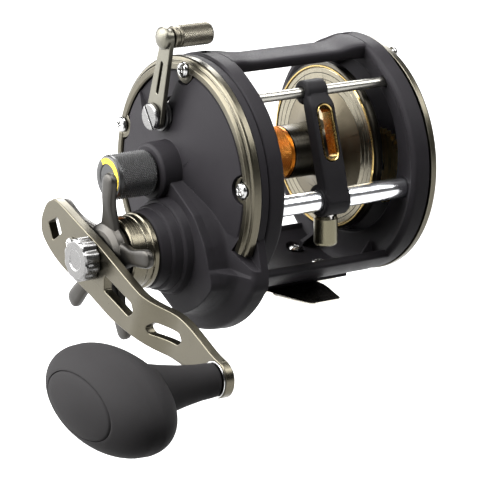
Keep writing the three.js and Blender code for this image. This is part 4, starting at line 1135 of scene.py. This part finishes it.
# ---------- the spool ----------
def make_spool():
    # Painted shade: sections with this index get the near-black bronze that stands in for shadow on the
    # arbor, groove bottoms, rims and hub.
    painted_shade = 2
    # Painted reflection: sections with this index get the lighter flange-face bronze that stands in for
    # reflected light.
    face = 1
    cone = 0
    gold_line = 3
    sections = [
        (8, 2.3, painted_shade), (8, 5, painted_shade), (10.2, 6, painted_shade), (10.2, 27.2, painted_shade), (10.5, 27.8, painted_shade),
        (11.2, 28, gold_line), (12.0, 28, painted_shade), (12.5, 27.7, face), (12.6, 27.2, face), (12.6, 9.4, painted_shade),
        (12.6, 7.6, painted_shade), (40.8, 7.6, painted_shade), (40.8, 8.7, painted_shade), (41.0, 8.8, painted_shade), (50.5, 8.8, painted_shade),
        (53.6, 9.0, cone), (55.4, 10.0, cone), (56.9, 13.0, cone), (57.7, 16.5, cone), (58.1, 19.6, cone),
    ]
    for groove in (20.2, 22.2, 24.2):
        sections += [(58.2, groove, face), (58.3, groove + 0.06, painted_shade), (58.3, groove + 0.2, painted_shade),
                     (58.2, groove + 0.26, face)]
    sections += [
        (58.2, 25.8, face), (58.35, 26.0, painted_shade), (58.35, 26.2, gold_line), (57.95, 26.35, gold_line),
        (57.95, 26.75, gold_line), (58.3, 26.9, painted_shade), (58.4, 27.4, painted_shade), (58.8, 27.9, painted_shade),
        (59.4, 28, painted_shade), (60.9, 28, painted_shade), (61.4, 27.5, painted_shade), (61.4, 14, painted_shade), (63, 6, painted_shade),
        (66, 6, painted_shade), (66, 2.3, painted_shade),
    ]
    profile = [(x, r) for x, r, _ in sections]
    spool = lathe("spool", profile, SPOOL, 160)
    radii = [(min(a[0], b[0]), max(a[0], b[0]), min(a[1], b[1]), max(a[1], b[1]), a[2])
             for a, b in zip(sections, sections[1:])]
    for polygon in spool.data.polygons:
        x = polygon.center.x
        r = math.hypot(polygon.center.y - SPOOL[0], polygon.center.z - SPOOL[1])
        for x0, x1, r0, r1, index in radii:
            if x0 - 0.02 <= x <= x1 + 0.02 and r0 - 0.04 <= r <= r1 + 0.04:
                polygon.material_index = index
                break
    install(spool, "line_spool", "spool_body", "bronze", [spool_bronze, spool_face_painted_reflection, spool_painted_shade, gold],
            "spool", smooth=28)
    sleeve = knurled(
        [(12.9, 7.9), (12.9, 8.5), (13.2, 8.7)], 13.4, 38.9, 8.8, 0.3, 52, 38,
        [(39.1, 8.6), (39.4, 8.75), (40.3, 8.75), (40.5, 8.5), (40.5, 7.9)], SPOOL,
    )
    install(sleeve, "grip_sleeve", "spool_body", "orange", orange, "line_grip_sleeve", smooth=25)


# ---------- the level wind ----------
LEAN = bearing(WORM, ROD)
CARRIAGE = math.dist(WORM, ROD)
SLOT_AT = 0.6


def carriage(along, out):
    """A point in the carriage's leaning axes: up from the worm to the rod, and out to the front."""
    y, z = polar(along, LEAN, WORM)
    angle = math.radians(LEAN)
    return y - out * math.cos(angle), z - out * math.sin(angle)


def racetrack(width, length, out, steps=32):
    """A ring round the line slot, at a depth in the blade."""
    points = []
    reach = (length - width) / 2
    for i in range(steps):
        angle = 2 * math.pi * (i + 0.5) / steps
        along = math.sin(angle) * width / 2 + (reach if i < steps / 2 else -reach)
        y, z = carriage(CARRIAGE * SLOT_AT + along, out)
        points.append((GUIDE_X + math.cos(angle) * width / 2, y, z))
    return points


def make_line_guide():
    half = (extent("line_guide")[1].x - extent("line_guide")[0].x) / 2
    stations = []
    for i in range(37):
        along = -1.5 + (CARRIAGE + 1.5) * i / 36
        front = 5.2 + 0.2 * smoothstep(0, 8, along) - 1.9 * smoothstep(CARRIAGE * 0.82, CARRIAGE, along)
        back = 0.9
        width = half - 0.05 - 0.7 * smoothstep(CARRIAGE * 0.86, CARRIAGE, along)
        chamfer = 1.3
        section = [(-width, back), (width, back), (width, front - chamfer), (width - 0.35, front - 0.45),
                   (width - chamfer, front), (chamfer - width, front), (0.35 - width, front - 0.45),
                   (-width, front - chamfer)]
        ring = []
        for across, out in section:
            y, z = carriage(along, out)
            ring.append((GUIDE_X + across, y, z))
        stations.append(ring)
    guide = loft("guide", stations)
    lug = lathe("lug", rounded([
        (GUIDE_X - half, 3.6), (GUIDE_X - half, 5.2, 0.9), (GUIDE_X + half, 5.2, 0.9), (GUIDE_X + half, 3.6),
    ], closed=True), WORM, 64)
    hook = lathe("hook", rounded([
        (GUIDE_X - half + 0.7, 1.95), (GUIDE_X - half + 0.7, 3.9, 0.9), (GUIDE_X + half - 0.7, 3.9, 0.9),
        (GUIDE_X + half - 0.7, 1.95),
    ], closed=True), ROD, 64)
    fuse(guide, lug, hook)
    slot = loft("tool", [racetrack(6.1, 18.6, -3), racetrack(6.1, 18.6, 4.9), racetrack(7.6, 20.1, 6.2)])
    carve(guide, disc(25, 50, 3.6, WORM), disc(25, 50, ROD_HOLE_R, ROD), slot,
          upright(GUIDE_X, WORM[0], -14, WORM[1], 1.9))
    soften(guide, 0.18, 2, 34)
    install(guide, "guide_body", "carriage", "graphite", dark_graphite, "line_guide")
    insert = loft("insert", [
        racetrack(5.5, 18.0, 0.0), racetrack(5.5, 18.0, 4.9), racetrack(5.9, 18.4, 5.25),
        racetrack(5.6, 18.1, 5.6), racetrack(5.0, 17.5, 5.45), racetrack(4.6, 17.1, 4.7),
        racetrack(4.5, 17.0, 2.6), racetrack(4.7, 17.2, 0.6), racetrack(5.1, 17.6, 0.0),
    ], loop=True)
    install(insert, "guide_eye", "carriage", "brass", gold, "line_guide_insert", smooth=50)

    low, high = extent("pawl_cap")
    middle = (low.y + high.y) / 2
    profile = rounded([(low.z, 0), (low.z, 2.7), (low.z + 0.5, 3.55, 0.4), (low.z + 1.1, 3.85, 0.3),
                       (high.z - 0.9, 3.85, 0.1), (high.z - 0.8, 3.6), (high.z, 3.6), (high.z, 0)])
    cap = lathe("cap", profile, (0.0, 0.0), 64)
    carve(cap, block((low.z - 1, -5, -0.4), (low.z + 0.8, 5, 0.4)))
    soften(cap, 0.08, 2)
    move_points(cap, lambda p: Vector((GUIDE_X + p.y, middle + p.z, p.x)))
    carve(cap, upright(GUIDE_X, WORM[0], high.z - 5, high.z + 1, 1.6))
    install(cap, "pawl_holder", "carriage", "bronze", cap_bronze, "pawl_cap")


def make_bars():
    tube = lathe("tube", rounded([
        (14, 2.4), (14, 3.3, 0.15), (65.7, 3.3, 0.15), (65.7, 2.4),
    ], closed=True), WORM, 64)
    carve(tube, block((19, WORM[0] - 0.9, -12), (61, WORM[0] + 0.9, WORM[1])))
    soften(tube, 0.08, 2)
    install(tube, "worm_tube", "body", "chrome", chrome, "worm_shield")
    rod = lathe("rod", rounded([(8.5, 0), (8.5, 1.65, 0.3), (66.8, 1.65, 0.3), (66.8, 0)]), ROD, 48)
    install(rod, "upper_rod", "body", "steel", rod_steel, "guide_rod")
    make_worm()


def make_worm():
    """The worm: a rod with two crossed spiral grooves."""
    turns = 5.0
    x0, x1 = 20.0, 60.0
    steps = 48
    rings = [[(8.2, *WORM)], at_x(8.2, circle(1.7, WORM, steps)), at_x(8.5, circle(1.9, WORM, steps))]
    for i in range(241):
        x = x0 + (x1 - x0) * i / 240
        points = []
        for j in range(steps):
            phase = turns * (x - x0) / (x1 - x0)
            cuts = []
            for way in (1, -1):
                off = (way * j / steps - phase) % 1.0
                cuts.append(min(off, 1 - off))
            depth = 0.55 * (1 - smoothstep(0.035, 0.11, min(cuts)))
            points.append(polar(1.9 - depth, 360 * j / steps, WORM))
        rings.append(at_x(x, points))
    rings += [at_x(70.0, circle(1.9, WORM, steps)), at_x(70.3, circle(1.7, WORM, steps)), [(70.3, *WORM)]]
    install(loft("worm", rings), "crossed_worm", "worm", "steel", steel, "worm_shaft", smooth=45)


# ---------- the inner CAD pieces ----------
def dress_inner_pieces():
    """The hidden works keep their CAD meshes, each with a machined finish."""
    finishes = {
        brass: ["main_gear", "pinion", "spool_drive_gear", "idler_gear", "worm_gear"],
        steel: ["bridge_plate", "gear_post", "drive_sleeve", "anti_reverse_ratchet", "anti_reverse_dog",
                "drag_washer_steel", "sleeve_bearing", "spool_shaft", "clutch_pin", "click_gear",
                "spool_bearing_handle_side", "spool_bearing_left_side", "clutch_yoke", "clutch_cam", "pawl",
                "click_tongue"],
        fibre: ["drag_washer_fibre"],
    }
    for material, nodes in finishes.items():
        for node in nodes:
            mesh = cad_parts[node].data
            mesh.materials.clear()
            mesh.materials.append(material)


# ---------- the studio ----------
AZIMUTH = -35.04
ELEVATION = 13.73
DISTANCE = 0.96187
LENS = 226.1
TARGET = (15.57, -10.91, -20.3)
FLOOR_DROP = 0.030
FLOOR_HALF = 6.0
FLOOR_GLOW = 0.85
WORLD_LIGHT = 0.09


def view_way(azimuth, elevation):
    a, e = math.radians(azimuth), math.radians(elevation)
    return Vector((math.sin(a) * math.cos(e), -math.cos(a) * math.cos(e), math.sin(e)))


def make_camera():
    data = bpy.data.cameras.new("camera")
    data.lens = LENS
    data.sensor_width = 36
    data.clip_start = 0.01
    camera = bpy.data.objects.new("camera", data)
    back = view_way(AZIMUTH, ELEVATION)
    camera.location = TO_WORLD @ Vector(TARGET) + back * DISTANCE
    camera.rotation_mode = "QUATERNION"
    camera.rotation_quaternion = (-back).to_track_quat("-Z", "Y")
    bpy.context.scene.collection.objects.link(camera)
    bpy.context.scene.camera = camera


def add_softbox(name, azimuth, elevation, distance, width, height, power):
    data = bpy.data.lights.new(name, "AREA")
    data.shape = "RECTANGLE"
    data.size = width
    data.size_y = height
    data.energy = power
    lamp = bpy.data.objects.new(name, data)
    way = view_way(azimuth, elevation)
    lamp.location = way * distance
    lamp.rotation_mode = "QUATERNION"
    lamp.rotation_quaternion = (-way).to_track_quat("-Z", "Y")
    bpy.context.scene.collection.objects.link(lamp)


def make_studio():
    world = bpy.data.worlds.new("studio")
    world.use_nodes = True
    background = world.node_tree.nodes["Background"]
    background.inputs["Color"].default_value = (1.0, 1.0, 1.0, 1.0)
    background.inputs["Strength"].default_value = WORLD_LIGHT
    bpy.context.scene.world = world
    bpy.context.scene.view_settings.view_transform = "Standard"
    add_softbox("key_softbox", -110, 38, 1.2, 1.4, 1.2, 66)
    add_softbox("side_softbox", -142, 18, 1.1, 0.9, 0.8, 16)
    add_softbox("top_softbox", 10, 78, 0.9, 0.6, 0.5, 14)
    add_softbox("front_softbox", 45, 44, 0.9, 0.35, 0.35, 4)
    add_softbox("back_softbox", 140, 40, 1.0, 0.4, 0.5, 8)
    floor = bpy.data.meshes.new("studio_floor")
    level = cad_box[0].z - FLOOR_DROP
    corners = [(x * FLOOR_HALF, y * FLOOR_HALF, level) for x, y in ((-1, -1), (1, -1), (1, 1), (-1, 1))]
    floor.from_pydata(corners, [], [(0, 1, 2, 3)])
    sheet = Shader("studio_floor")
    sheet.link(sheet.mix(sheet.noise(sheet.place, 0.02), (0.3, 0.3, 0.3), (0.33, 0.33, 0.33)),
               sheet.surface.inputs["Base Color"])
    sheet.surface.inputs["Roughness"].default_value = 0.9
    sheet.surface.inputs["Emission Color"].default_value = (1.0, 1.0, 1.0, 1.0)
    sheet.surface.inputs["Emission Strength"].default_value = FLOOR_GLOW
    floor.materials.append(sheet.material)
    floor_object = bpy.data.objects.new("studio_floor", floor)
    # The floor glows for a white background, and mustn't light the reel from below.
    floor_object.visible_diffuse = False
    bpy.context.scene.collection.objects.link(floor_object)


make_camera()
make_studio()
make_frame()
make_handle_side_plate()
make_handle_side_ring()
make_left_side()
make_foot()
make_collar()
make_star()
make_handle_arm()
make_handle_nut()
make_knob()
make_knob_spindle()
make_tension_pieces()
make_lever()
make_spool()
make_line_guide()
make_bars()
dress_inner_pieces()
